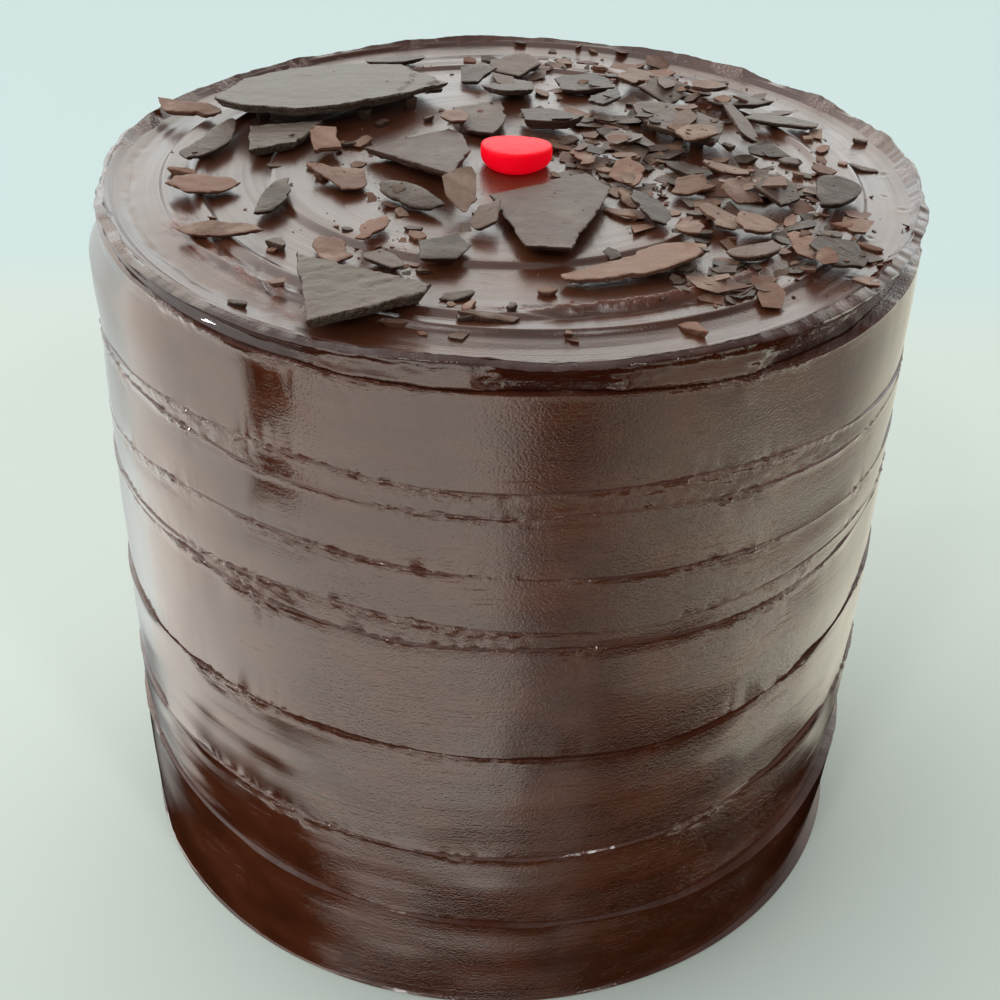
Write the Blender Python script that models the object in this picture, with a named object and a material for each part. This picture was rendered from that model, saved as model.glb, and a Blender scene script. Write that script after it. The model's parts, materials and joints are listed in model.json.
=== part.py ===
# A tall round chocolate cake: dark ganache smoothed on with a spatula in level
# bands, a raised rim, a top of broken chocolate pieces and one red sweet.
#
# Sizes are in millimetres and turn into metres where a mesh is written. The
# cake stands on Z = 0 with its outline centred on the origin, and its front
# faces -Y. An azimuth is an angle round the cake from +X, so the front is at
# -90 degrees.

import math
import random

import bmesh
import bpy
import numpy as np
from mathutils import Vector
from mathutils.bvhtree import BVHTree

MILLIMETRE = 0.001

# Driving dimensions of the cake
CAKE_RADIUS = 80.0
RIM_RADIUS = 79.6
RIM_HEIGHT = 148.4
AXIS_X = 0.9                   # puts the leaning cake's outline on the origin
AXIS_Y = -0.64
COLUMNS = 72

# A wave is (times round the cake, amount, azimuth term in degrees).
BODY_WAVES = ((2, 0.35, 60), (3, 0.2, 10))
LEAN_AT_BASE = 0.7             # the body leans to -X, more towards the top
LEAN_AT_TOP = 2.0
LEAN_AZIMUTH = 178
RIM_WAVES = ((1, 0.55, 102), (2, 1.3, 91), (4, 0.5, 11), (5, 0.35, 95))
CREST_WAVES = ((1, 0.35, 60), (7, 0.2, 40), (11, 0.2, 10))
CRAG_SEED = 3                  # the torn crest, at its most ragged on the right
CRAG_HEIGHT = 0.3
CRAG_HEIGHT_RIGHT = 0.8
CRAG_AZIMUTH = 12
CRAG_SPREAD = 28

# Ledges, where one pass of the spatula ends above the next: height and waves
LEDGES = (
    (143.6, ((1, 1.6, 170), (2, 0.8, 65), (5, 0.5, -40))),
    (124.0, ((1, 1.3, -150), (2, 1.0, 138), (5, 0.8, 69))),
    (120.9, ((1, 1.4, 170), (2, 1.1, 66), (5, 0.7, 0))),
    (106.6, ((1, 0.9, -85), (2, 1.5, 128), (3, 1.4, -12), (5, 0.6, 47))),
    (97.0, ((2, 0.6, 80), (3, 0.6, -12), (5, 0.8, 170))),
    (95.0, ((1, 1.0, 89), (2, 1.6, 29), (3, 1.0, -27), (5, 0.8, -42))),
    (69.4, ((1, 3.0, 8), (2, 1.1, 11), (3, 2.6, -26), (5, 0.6, -85))),
    (45.6, ((1, 2.2, 18), (2, 1.5, -1), (3, 2.3, -45))),
    (26.4, ((1, 2.6, 157), (2, 2.0, 41), (3, 0.8, -93), (5, 0.6, -71))),
)
LEDGE_SPACING = 1.6            # ledges never come closer than this
LEDGE_STEP = 0.3               # height of the shelf between two bands
LIP_OVERHANG = 0.9             # how far the rim's lip stands out at its foot
LIP_SMOOTHED = 195             # the lip runs smoothly into the side round here
LIP_SMOOTHED_SPREAD = 40
LIP_TOE = 0.5                  # the lip's lowest corner lies this far above the foot
LIP_BULGE = 0.3
CREST_WIDTH = 0.9
CREST_DROP = 0.7

# How far a band stands out along its height, from its torn top edge down
BAND = ((0.0, 0.34), (0.1, 0.22), (0.45, 0.18), (0.85, -0.18), (1.0, -0.32))
STRIP = ((0.0, 0.34), (0.5, 0.12), (1.0, -0.24))
STRIP_UP_TO = 5.0              # a band lower than this is a mere strip
FOOT_ROUNDING = 1.2

# Top: rings of radius, height and waves, from the rim's crest to the middle
TERRACES = (
    (77.9, 148.0, ()),
    (76.3, 147.0, ((3, 0.5, 30),)),
    (72.0, 146.6, ((2, 0.5, 100),)),
    (67.6, 147.0, ((1, 1.4, -110), (2, 0.7, -60))),
    (66.4, 148.0, ((1, 1.4, -110), (2, 0.7, -60))),
    (62.6, 147.7, ((1, 1.8, -130), (3, 0.9, 20))),
    (60.4, 148.6, ((1, 1.8, -130), (3, 0.9, 20))),
    (58.8, 147.9, ((1, 1.8, -130), (3, 0.9, 20))),
    (45.5, 147.9, ((1, 2.0, -160), (2, 1.2, 50))),
    (43.9, 148.8, ((1, 2.0, -160), (2, 1.2, 50))),
    (24.0, 148.5, ((2, 1.0, 20),)),
)
MIDDLE_HEIGHT = 148.6
RIM_PULL = 3                   # the rings follow the rim's shape, more near it

# Chocolate pieces lie this far clear of what holds them up.
GAP = 0.35
GROUND_PITCH = 0.5
GROUND_REACH = 84.0
LOOK_FROM = 190.0              # heights are looked up from here, straight down
STEEPEST = 0.55
FINEST_SLOPE = 0.002

# Large broken pieces, lowest first: thickness, colour and corners (x, y)
BIG_PIECES = {
    "rim_flake": (1.4, "milk", ((-75, 25), (-62, 23), (-60, 18), (-73, 18))),
    "curved_left": (1.3, "dark", (
        (-58, 17), (-56, 12), (-56, 4), (-59, -4), (-63, -7), (-66, -4), (-63, 1),
        (-61, 9))),
    "ridged_left": (1.8, "dark", ((-54, 12), (-39, 13), (-43, 1), (-52, -2))),
    "under_slab": (1.6, "milk", ((-42, 5), (-36, 8), (-34, 1), (-39, -4))),
    "behind_sweet": (1.6, "dark", ((-14, 26), (-4, 31), (-2, 20), (-5, 12), (-12, 13))),
    "slab_back_left": (1.9, "dark", (
        (-62, 19), (-59, 35), (-50, 44), (-39, 49), (-26, 48), (-15, 35), (-25, 23),
        (-36, 14), (-44, 11), (-56, 14))),
    "slab_mid_left": (1.8, "dark", ((-30, 1), (-14, 13), (-11, 9), (-9, -2), (-12, -17))),
    "slab_front_left": (2.1, "dark", ((-37, -48), (-13, -60), (-14, -63), (-32, -72))),
    "slab_centre": (1.4, "dark", ((-5, -19), (13, -6), (18, -14), (10, -44), (2, -43))),
    "long_flake": (1.3, "milk", (
        (7, -50), (11, -47), (19, -43), (23, -37), (34, -36), (34, -41), (27, -47),
        (20, -51), (9, -53))),
    "slab_back_right": (1.6, "dark", ((22, 29), (31, 30), (42, 18), (39, 6), (26, 16))),
    "leaf_right": (1.5, "dark", (
        (57, -5), (62, -4), (66, -8), (64, -13), (60, -17), (56, -18), (56, -11))),
}

# Other broken pieces: x, y, length, width, turn in degrees, thickness, colour.
# They are dropped in this order, so a later one may rest on an earlier one.
PIECES = (
    (-19, -21, 16, 7, 138, 1.2, "dark"),
    (-58, -17, 15, 10, 20, 1.0, "milk"),
    (-44, -23, 16, 7, 83, 1.4, "dark"),
    (-32, -13, 15, 10, 131, 1.0, "milk"),
    (-52, -37, 16, 7, 171, 1.0, "milk"),
    (-31, -44, 14, 8, 109, 1.1, "milk"),
    (-25, -36, 13, 6, 69, 1.1, "milk"),
    (-22, -46, 10, 6, 146, 1.0, "dark"),
    (-12, -42, 14, 10, 62, 1.2, "dark"),
    (-10, -21, 15, 7, 82, 1.1, "milk"),
    (-5, -31, 13, 6, 82, 1.3, "dark"),
    (13, 3, 14, 7, 90, 1.1, "milk"),
    (-13, 17, 9, 6, 100, 1.0, "milk"),
    (-1, 56, 15, 12, 63, 1.4, "dark"),
    (13, 45, 18, 14, 66, 1.4, "dark"),
    (25, 49, 14, 10, 69, 1.2, "milk"),
    (31, 41, 13, 11, 88, 1.3, "dark"),
    (-10, 48, 13, 9, 95, 1.3, "dark"),
    (-2, 38, 16, 12, 78, 1.5, "dark"),
    (-28, 58, 16, 7, 14, 1.2, "dark"),
    (6, 21, 14, 11, 170, 2.2, "dark"),
    (18, 32, 11, 9, 83, 1.2, "dark"),
    (46, 36, 16, 8, 18, 1.3, "dark"),
    (41, 44, 12, 7, 115, 1.2, "dark"),
    (54, 27, 17, 7, 3, 1.2, "dark"),
    (45, 17, 17, 7, 100, 1.6, "dark"),
    (22, 6, 15, 8, 98, 1.2, "dark"),
    (35, 9, 12, 9, 66, 1.0, "milk"),
    (21, -7, 13, 7, 99, 1.1, "milk"),
    (33, -2, 12, 6, 136, 1.2, "dark"),
    (33, -11, 11, 7, 40, 1.0, "milk"),
    (40, -5, 11, 6, 10, 1.0, "milk"),
    (42, -14, 12, 9, 71, 1.0, "milk"),
    (49, -12, 12, 9, 79, 1.4, "dark"),
    (25, -23, 16, 7, 110, 1.2, "dark"),
    (31, -31, 10, 6, 95, 1.0, "milk"),
    (37, -24, 12, 9, 95, 1.1, "milk"),
    (43, -27, 11, 8, 60, 1.1, "milk"),
    (42, -38, 12, 8, 26, 1.5, "dark"),
    (51, -33, 12, 7, 102, 1.0, "milk"),
    (57, -37, 14, 11, 60, 1.2, "dark"),
)
PIECE_SEED = 11
PIECE_CORNERS = (5, 5, 6, 7)
CORNER_REACH = (0.42, 0.56)    # share of the length or width, from the middle
CORNER_STRAY = 0.3

# Small flakes and crumbs, fused to the ganache: those with a place of their own
# (x, y, length, width, turn), then the scattered ones
PLACED_FLAKES = (
    (29, -62.5, 10.0, 3.0, 135), (69, 9, 8.0, 3.2, 175), (60, -22, 5.5, 2.4, 0),
    (-9, -57, 7.0, 3.6, 20), (-17, -65, 9.0, 3.4, 12), (6, -54, 4.5, 3.2, 0),
    (17, -39, 5.0, 4.2, 90), (64, -29, 6.0, 2.2, 160), (62, 22, 5.0, 2.4, 40),
    (-45, -60, 5.0, 2.0, 150), (8, 61, 7.0, 3.0, 10), (33, 57, 6.0, 3.0, 170),
    (-31, 8, 7.0, 3.0, 61), (-46, -5, 5.3, 3.2, 17), (-38, -6, 6.0, 3.0, 152),
    (-63, -9, 6.5, 2.5, 178), (-22, -13, 6.0, 3.6, 122), (-17, -36, 4.7, 3.0, 137),
    (-26, -49, 3.3, 3.0, 132), (-3, -64, 12.0, 2.8, 2), (-7, -61, 5.0, 3.0, 62),
    (19, -22, 8.8, 4.0, 143), (21, -16, 6.9, 3.5, 123), (18, 18, 6.1, 4.0, 135),
    (23, 14, 6.0, 3.5, 121), (10, 13, 5.8, 3.0, 45), (17, -2, 6.0, 3.0, 162),
    (41, 2, 6.8, 4.0, 156), (47, -4, 4.0, 3.5, 147), (54, 8, 5.0, 4.0, 141),
    (57, -26, 5.1, 3.0, 164), (71, 24, 3.7, 2.6, 171), (44, 56, 6.2, 3.5, 11),
    (34, 52, 5.4, 4.0, 31), (22, 60, 5.6, 5.0, 18), (9, 65, 8.0, 4.0, 7),
    (34, -28, 4.1, 4.0, 16), (36, -45, 6.5, 3.6, 23), (31, -49, 4.2, 3.0, 32),
    (-7, 64, 5.6, 4.0, 162),
)
PLACED_HEIGHT = 0.9
FLAKE_COUNT = 22
FLAKE_SEED = 5
FLAKE_SIZE = (2.6, 5.2)
FLAKE_SHAPE = (0.5, 0.9)       # width as a share of the length
FLAKE_HEIGHT = (0.7, 1.3)
FLAKE_RING = (12.0, 66.0)
FLAKE_SINK = 0.6
FLAKE_TILT = 0.18

# Lumps of chocolate, fused to the ganache, that prop up tilted pieces
PROPS = (
    (-32, 22, 2.2), (-23, 29, 2.4), (-53, 23, 2.0), (-17, -59, 1.3), (8, -36, 0.9),
    (-14, -6, 1.5), (36, 14, 1.6), (29, -43, 0.9), (27, 22, 1.4),
)
PROP_WIDTH = 4.0

# Red sweet: a sugar-coated tablet, a little three-sided, its face nearly flat
SWEET_RADIUS = 6.9
SWEET_AT = (-0.4, 0.0)
SWEET_LOBES = 0.05
SWEET_TURN = 30
SWEET_COLUMNS = 28
# Its side from below to above: share of the radius, and height
SWEET_SIDE = (
    (0.58, 0.0), (0.84, 0.45), (0.95, 1.3), (1.0, 2.5), (1.0, 3.5), (0.975, 4.2),
    (0.92, 4.55), (0.78, 4.85), (0.42, 5.15),
)
SWEET_BELLY = 4                # rows from the base up to the widest
SWEET_THICKNESS = 5.25

# Edges sharper than these, in degrees, stay sharp in the shading
CAKE_EDGES = 40
SWEET_EDGES = 50

# Colour, roughness and metallic of each finish
FINISHES = {
    "ganache": ((0.055, 0.022, 0.014), 0.28, 0.0),
    "dark": ((0.075, 0.036, 0.026), 0.38, 0.0),
    "milk": ((0.16, 0.070, 0.045), 0.55, 0.0),
    "sweet": ((0.62, 0.004, 0.008), 0.15, 0.0),
}


def waves(azimuth, terms):
    """Sum of cosines round the cake, in millimetres."""
    return sum(amount * math.cos(times * azimuth - math.radians(term))
               for times, amount, term in terms)


def body_radius(azimuth, height):
    """Radius of the smooth body, before the bands are added."""
    share = height / RIM_HEIGHT
    lean = LEAN_AT_BASE + (LEAN_AT_TOP - LEAN_AT_BASE) * share
    leaning = lean * math.cos(azimuth - math.radians(LEAN_AZIMUTH))
    return CAKE_RADIUS + leaning + waves(azimuth, BODY_WAVES)


def ledge_heights(azimuth):
    """Heights of all ledges at an azimuth, top one first."""
    heights = []
    for height, terms in LEDGES:
        here = height + waves(azimuth, terms)
        if heights:
            here = min(here, heights[-1] - LEDGE_SPACING)
        heights.append(here)
    return heights


def side_profile(azimuth):
    """Points (radius, height) of the side, from the lip's foot to the floor."""
    ledges = ledge_heights(azimuth)
    points = []
    for index, top in enumerate(ledges):
        last = index + 1 == len(ledges)
        foot = 0.0 if last else ledges[index + 1]
        nominal = LEDGES[index][0] - (0.0 if last else LEDGES[index + 1][0])
        steps = STRIP if nominal < STRIP_UP_TO else BAND
        start = top - LEDGE_STEP
        for share, proud in steps:
            height = start + (foot - start) * share
            points.append((body_radius(azimuth, height) + proud, height))
    radius, height = points.pop()
    points.append((radius, FOOT_ROUNDING))
    points.append((radius - FOOT_ROUNDING, 0.0))
    return points


def crags():
    """Uneven height of the torn crest at each column, in millimetres."""
    draw = random.Random(CRAG_SEED)
    heights = []
    for column in range(COLUMNS):
        away = (360 * column / COLUMNS - CRAG_AZIMUTH + 180) % 360 - 180
        ragged = math.exp(-(away / CRAG_SPREAD) ** 2)
        most = CRAG_HEIGHT + (CRAG_HEIGHT_RIGHT - CRAG_HEIGHT) * ragged
        heights.append(draw.uniform(-most, most))
    return heights


def rim_profile(azimuth, crag):
    """Points of the lip's face, from its crest down to its foot."""
    rim = RIM_RADIUS + waves(azimuth, RIM_WAVES)
    crest = RIM_HEIGHT + waves(azimuth, CREST_WAVES) + crag
    foot = ledge_heights(azimuth)[0]
    middle = (crest + foot) / 2
    away = (math.degrees(azimuth) - LIP_SMOOTHED + 180) % 360 - 180
    overhang = LIP_OVERHANG * (1 - math.exp(-(away / LIP_SMOOTHED_SPREAD) ** 2))
    return [
        (rim - CREST_WIDTH, crest),
        (rim, crest - CREST_DROP),
        (rim + LIP_BULGE, middle),
        (rim + overhang / 2, foot + LIP_TOE),
        (rim - overhang, foot),
    ]


def top_profile(azimuth):
    """Points of the top, from the middle out to the crest."""
    rim = waves(azimuth, RIM_WAVES)
    points = []
    for radius, height, terms in reversed(TERRACES):
        share = radius / RIM_RADIUS
        points.append((radius + waves(azimuth, terms) + rim * share ** RIM_PULL, height))
    return points


def finish(name):
    """One material for each finish, shared by the pieces that have it."""
    found = bpy.data.materials.get(name)
    if found:
        return found
    color, roughness, metallic = FINISHES[name]
    material = bpy.data.materials.new(name)
    material.use_nodes = True
    shader = material.node_tree.nodes["Principled BSDF"]
    shader.inputs["Base Color"].default_value = (*color, 1.0)
    shader.inputs["Roughness"].default_value = roughness
    shader.inputs["Metallic"].default_value = metallic
    material.diffuse_color = (*color, 1.0)
    return material


def add_object(name, mesh, material):
    """A new object with one material, from a mesh in metres."""
    piece = bpy.data.objects.new(name, mesh)
    piece.data.materials.append(finish(material))
    bpy.context.scene.collection.objects.link(piece)
    return piece


def mesh_from(name, points, faces):
    """A closed mesh from points in millimetres, faces turned outwards."""
    build = bmesh.new()
    corners = [build.verts.new(Vector(point) * MILLIMETRE) for point in points]
    for face in faces:
        build.faces.new([corners[index] for index in face])
    bmesh.ops.recalc_face_normals(build, faces=build.faces)
    mesh = bpy.data.meshes.new(name)
    build.to_mesh(mesh)
    build.free()
    return mesh


def turned(profiles, bottom, top):
    """Faces and points of a body turned from one profile for each column."""
    columns = len(profiles)
    rings = len(profiles[0])
    points = [point for profile in profiles for point in profile]
    points += [bottom, top]
    faces = []
    for column in range(columns):
        beside = (column + 1) % columns
        here = column * rings
        there = beside * rings
        for ring in range(rings - 1):
            faces.append((here + ring, there + ring, there + ring + 1, here + ring + 1))
        faces.append((columns * rings, there, here))
        faces.append((columns * rings + 1, here + rings - 1, there + rings - 1))
    return points, faces


def ganache():
    """The cake's skin: banded side, lip and terraced top, as one solid."""
    profiles = []
    for column, crag in enumerate(crags()):
        azimuth = 2 * math.pi * column / COLUMNS
        going_down = top_profile(azimuth) + rim_profile(azimuth, crag)
        going_down += side_profile(azimuth)
        profiles.append([
            (AXIS_X + radius * math.cos(azimuth), AXIS_Y + radius * math.sin(azimuth),
             height)
            for radius, height in reversed(going_down)
        ])
    middle = (AXIS_X, AXIS_Y, MIDDLE_HEIGHT)
    points, faces = turned(profiles, (AXIS_X, AXIS_Y, 0.0), middle)
    return add_object("cake", mesh_from("cake", points, faces), "ganache")


def broken_outline(length, width, draw):
    """Corners of a broken piece round its own middle, longest along X."""
    corners = draw.choice(PIECE_CORNERS)
    start = draw.uniform(0, 2 * math.pi)
    outline = []
    for corner in range(corners):
        stray = draw.uniform(-CORNER_STRAY, CORNER_STRAY)
        angle = start + (corner + stray) * 2 * math.pi / corners
        reach = draw.uniform(*CORNER_REACH)
        outline.append((length * reach * math.cos(angle), width * reach * math.sin(angle)))
    return outline


def placed(outline, x, y, turn):
    """An outline turned and moved to its place on the cake."""
    cosine = math.cos(math.radians(turn))
    sine = math.sin(math.radians(turn))
    return [(x + u * cosine - v * sine, y + u * sine + v * cosine) for u, v in outline]


def slice_between(name, outline, low, high, material):
    """A thin piece with a plan outline, between two sloping planes."""
    count = len(outline)
    points = [(x, y, low(x, y)) for x, y in outline]
    points += [(x, y, high(x, y)) for x, y in outline]
    faces = [tuple(range(count - 1, -1, -1)), tuple(range(count, 2 * count))]
    for corner in range(count):
        beside = (corner + 1) % count
        faces.append((corner, beside, beside + count, corner + count))
    return add_object(name, mesh_from(name, points, faces), material)


def height_under(tree, x, y):
    """Height of the surface straight below a point, in millimetres."""
    above = Vector((x, y, LOOK_FROM)) * MILLIMETRE
    hit = tree.ray_cast(above, Vector((0, 0, -1)))[0]
    return hit.z / MILLIMETRE if hit else 0.0


def flake_places(draw):
    """Place, size, turn, height and tilt of each fused flake and prop."""
    places = [(x, y, PROP_WIDTH, PROP_WIDTH, 0.0, height, 0.0) for x, y, height in PROPS]
    for x, y, length, width, turn in PLACED_FLAKES:
        places.append((x, y, length, width, turn, PLACED_HEIGHT, FLAKE_TILT))
    for _ in range(FLAKE_COUNT):
        azimuth = draw.uniform(0, 2 * math.pi)
        radius = math.sqrt(draw.uniform(FLAKE_RING[0] ** 2, FLAKE_RING[1] ** 2))
        length = draw.uniform(*FLAKE_SIZE)
        places.append((
            radius * math.cos(azimuth), radius * math.sin(azimuth),
            length, length * draw.uniform(*FLAKE_SHAPE), draw.uniform(0, 180),
            draw.uniform(*FLAKE_HEIGHT), FLAKE_TILT))
    return places


def fused_bits(cake):
    """Small flakes, crumbs and props, sunk a little into the ganache."""
    draw = random.Random(FLAKE_SEED)
    tree = BVHTree.FromObject(cake, bpy.context.evaluated_depsgraph_get())
    bits = bpy.data.collections.new("bits")
    bpy.context.scene.collection.children.link(bits)
    for number, place in enumerate(flake_places(draw)):
        x, y, length, width, turn, height, tilt = place
        middle_x, middle_y = x + AXIS_X, y + AXIS_Y
        around = broken_outline(length, width, draw)
        outline = placed(around, middle_x, middle_y, turn)
        base = min(height_under(tree, u, v) for u, v in outline) - FLAKE_SINK
        slope_x = draw.uniform(-tilt, tilt)
        slope_y = draw.uniform(-tilt, tilt)

        def high(u, v):
            rise = slope_x * (u - middle_x) + slope_y * (v - middle_y)
            return base + FLAKE_SINK + height + rise

        bit = slice_between(f"bit_{number}", outline, lambda u, v: base, high, "ganache")
        bpy.context.scene.collection.objects.unlink(bit)
        bits.objects.link(bit)
    return bits


def fuse(cake, bits):
    """Joins a collection to the cake, applies it and removes the collection."""
    union = cake.modifiers.new("fused", "BOOLEAN")
    union.operation = "UNION"
    union.operand_type = "COLLECTION"
    union.collection = bits
    union.solver = "EXACT"
    graph = bpy.context.evaluated_depsgraph_get()
    joined = bpy.data.meshes.new_from_object(cake.evaluated_get(graph))
    cake.modifiers.clear()
    cake.data = joined
    cake.data.materials.clear()
    cake.data.materials.append(finish("ganache"))
    for bit in list(bits.objects):
        bpy.data.objects.remove(bit)
    bpy.data.collections.remove(bits)


class Ground:
    """Heights of all that lies on the cake so far, on a square grid."""

    def __init__(self, cake):
        tree = BVHTree.FromObject(cake, bpy.context.evaluated_depsgraph_get())
        side = np.arange(-GROUND_REACH, GROUND_REACH + GROUND_PITCH, GROUND_PITCH)
        self.x, self.y = np.meshgrid(side, side)
        heights = [height_under(tree, x, y) for x, y in zip(self.x.flat, self.y.flat)]
        self.z = np.array(heights).reshape(self.x.shape)

    def under(self, outline, margin):
        """Which grid points lie within an outline widened by a margin."""
        middle = np.mean(outline, axis=0)
        wide = []
        for corner in np.array(outline):
            away = corner - middle
            wide.append(corner + away / np.linalg.norm(away) * margin)
        inside = np.zeros(self.x.shape, bool)
        for (ax, ay), (bx, by) in zip(wide, wide[1:] + wide[:1]):
            if ay == by:
                continue
            spans = (self.y >= ay) != (self.y >= by)
            crossing = ax + (self.y - ay) * (bx - ax) / (by - ay)
            inside ^= spans & (self.x < crossing)
        return inside

    def resting_plane(self, outline):
        """The plane on which a flat piece comes to rest: as low as it can lie."""
        inside = self.under(outline, 2 * GROUND_PITCH)
        middle_x, middle_y = np.mean(outline, axis=0)
        across = self.x[inside] - middle_x
        along = self.y[inside] - middle_y
        below = self.z[inside]
        slope_x = slope_y = 0.0
        reach = STEEPEST / 2
        while reach > FINEST_SLOPE:
            tries = []
            for step_x in (-1, 0, 1):
                for step_y in (-1, 0, 1):
                    u = max(-STEEPEST, min(STEEPEST, slope_x + step_x * reach))
                    v = max(-STEEPEST, min(STEEPEST, slope_y + step_y * reach))
                    tries.append((float(np.max(below - u * across - v * along)), u, v))
            lowest, better_x, better_y = min(tries)
            if (better_x, better_y) == (slope_x, slope_y):
                reach /= 2
            slope_x, slope_y = better_x, better_y
        return middle_x, middle_y, lowest + GAP, slope_x, slope_y

    def lay(self, name, outline, thickness, material):
        """Drops a flat piece and keeps its upper face as ground for the next."""
        middle_x, middle_y, height, slope_x, slope_y = self.resting_plane(outline)

        def low(x, y):
            return height + slope_x * (x - middle_x) + slope_y * (y - middle_y)

        def high(x, y):
            return low(x, y) + thickness

        slice_between(name, outline, low, high, material)
        inside = self.under(outline, GROUND_PITCH)
        raised = np.maximum(self.z, high(self.x, self.y))
        self.z = np.where(inside, raised, self.z)


def sweet_side(azimuth, height_of_base):
    """Points of the sweet's side at an azimuth, from below to above."""
    lobes = 1 + SWEET_LOBES * math.cos(3 * azimuth + math.radians(SWEET_TURN))
    points = []
    for share, rise in SWEET_SIDE:
        radius = SWEET_RADIUS * lobes * share
        points.append((
            SWEET_AT[0] + AXIS_X + radius * math.cos(azimuth),
            SWEET_AT[1] + AXIS_Y + radius * math.sin(azimuth),
            height_of_base + rise))
    return points


def sweet(ground):
    """The red sweet, on whatever lies at the middle of the cake."""
    across = np.hypot(ground.x - SWEET_AT[0] - AXIS_X, ground.y - SWEET_AT[1] - AXIS_Y)
    share = across / (SWEET_RADIUS * (1 + SWEET_LOBES))
    shares, rises = zip(*SWEET_SIDE[:SWEET_BELLY])
    belly = np.interp(share, shares, rises)
    base = float(np.max((ground.z - belly)[share < 1])) + GAP
    azimuths = [2 * math.pi * column / SWEET_COLUMNS for column in range(SWEET_COLUMNS)]
    middle = (SWEET_AT[0] + AXIS_X, SWEET_AT[1] + AXIS_Y)
    points, faces = turned(
        [sweet_side(azimuth, base) for azimuth in azimuths],
        (*middle, base), (*middle, base + SWEET_THICKNESS))
    return add_object("sweet", mesh_from("sweet", points, faces), "sweet")


def smooth(piece, sharpest):
    """Shades a round piece smooth, with its sharp edges kept."""
    piece.data.shade_smooth()
    piece.data.set_sharp_from_angle(angle=math.radians(sharpest))


def clear_scene():
    for thing in list(bpy.data.objects):
        bpy.data.objects.remove(thing)


def main():
    clear_scene()
    cake = ganache()
    fuse(cake, fused_bits(cake))
    smooth(cake, CAKE_EDGES)
    ground = Ground(cake)
    for name, (thickness, material, corners) in BIG_PIECES.items():
        outline = [(x + AXIS_X, y + AXIS_Y) for x, y in corners]
        ground.lay(name, outline, thickness, material)
    draw = random.Random(PIECE_SEED)
    for number, (x, y, length, width, turn, thickness, material) in enumerate(PIECES, 1):
        around = broken_outline(length, width, draw)
        outline = placed(around, x + AXIS_X, y + AXIS_Y, turn)
        ground.lay(f"shard_{number:02d}", outline, thickness, material)
    smooth(sweet(ground), SWEET_EDGES)


main()
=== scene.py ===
import json
import math
import random

import bpy
import numpy as np
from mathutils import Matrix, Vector, geometry
from mathutils.bvhtree import BVHTree


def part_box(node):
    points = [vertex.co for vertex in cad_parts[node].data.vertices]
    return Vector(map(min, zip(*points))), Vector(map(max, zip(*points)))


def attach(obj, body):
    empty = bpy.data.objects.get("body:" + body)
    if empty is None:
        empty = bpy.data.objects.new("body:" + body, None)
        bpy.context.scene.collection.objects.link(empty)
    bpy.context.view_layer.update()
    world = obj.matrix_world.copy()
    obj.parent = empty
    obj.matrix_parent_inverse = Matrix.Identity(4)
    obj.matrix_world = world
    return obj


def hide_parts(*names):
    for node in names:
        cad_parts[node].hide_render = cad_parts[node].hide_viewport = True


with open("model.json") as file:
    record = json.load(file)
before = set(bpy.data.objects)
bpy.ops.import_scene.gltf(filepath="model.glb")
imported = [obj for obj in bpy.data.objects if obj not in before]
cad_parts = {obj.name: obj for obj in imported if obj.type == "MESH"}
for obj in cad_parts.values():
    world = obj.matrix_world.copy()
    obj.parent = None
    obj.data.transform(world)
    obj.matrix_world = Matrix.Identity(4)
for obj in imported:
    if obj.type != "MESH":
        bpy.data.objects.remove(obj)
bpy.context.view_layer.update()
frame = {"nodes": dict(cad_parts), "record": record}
mm = 0.001
twoPi = 2 * math.pi


# Noise for the shapes: smooth random values from -1 to 1, the same in every run.

primes = (73856093, 19349663, 83492791, 2654435)


def lattice(ix, iy, iz, seed):
    mixed = 0
    for value, prime in zip((ix, iy, iz, seed), primes):
        mixed = mixed ^ (value * prime)
    mixed = (mixed ^ (mixed >> 13)) * 1274126177
    mixed = mixed ^ (mixed >> 16)
    return (mixed & 65535) / 32767.5 - 1


def noise(x, y, z, seed=0):
    x, y, z = np.broadcast_arrays(np.asarray(x, float), y, z)
    ix, iy, iz = (np.floor(v).astype(np.int64) for v in (x, y, z))
    fx, fy, fz = (v - np.floor(v) for v in (x, y, z))
    fx, fy, fz = (f * f * (3 - 2 * f) for f in (fx, fy, fz))
    total = 0
    for dx in (0, 1):
        for dy in (0, 1):
            for dz in (0, 1):
                share = (fx if dx else 1 - fx) * (fy if dy else 1 - fy) * (fz if dz else 1 - fz)
                total = total + share * lattice(ix + dx, iy + dy, iz + dz, seed)
    return total


def fractal(x, y, z, octaves=3, seed=0):
    total, amount = 0, 1.0
    for octave in range(octaves):
        grow = 2 ** octave
        total = total + amount * noise(x * grow, y * grow, z * grow, seed + octave)
        amount *= 0.5
    return total / 1.6


def smoothStep(low, high, value):
    share = np.clip((value - low) / (high - low), 0, 1)
    return share * share * (3 - 2 * share)


def bump(value, middle, width):
    return np.exp(-((value - middle) / width) ** 2)


def turnFrom(azimuth, degrees):                    # signed angle away from an azimuth, in degrees
    return (np.degrees(azimuth) - degrees + 180) % 360 - 180


# Shader tools: a Wire is one socket, and sums of Wires add their Math nodes.

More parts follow.
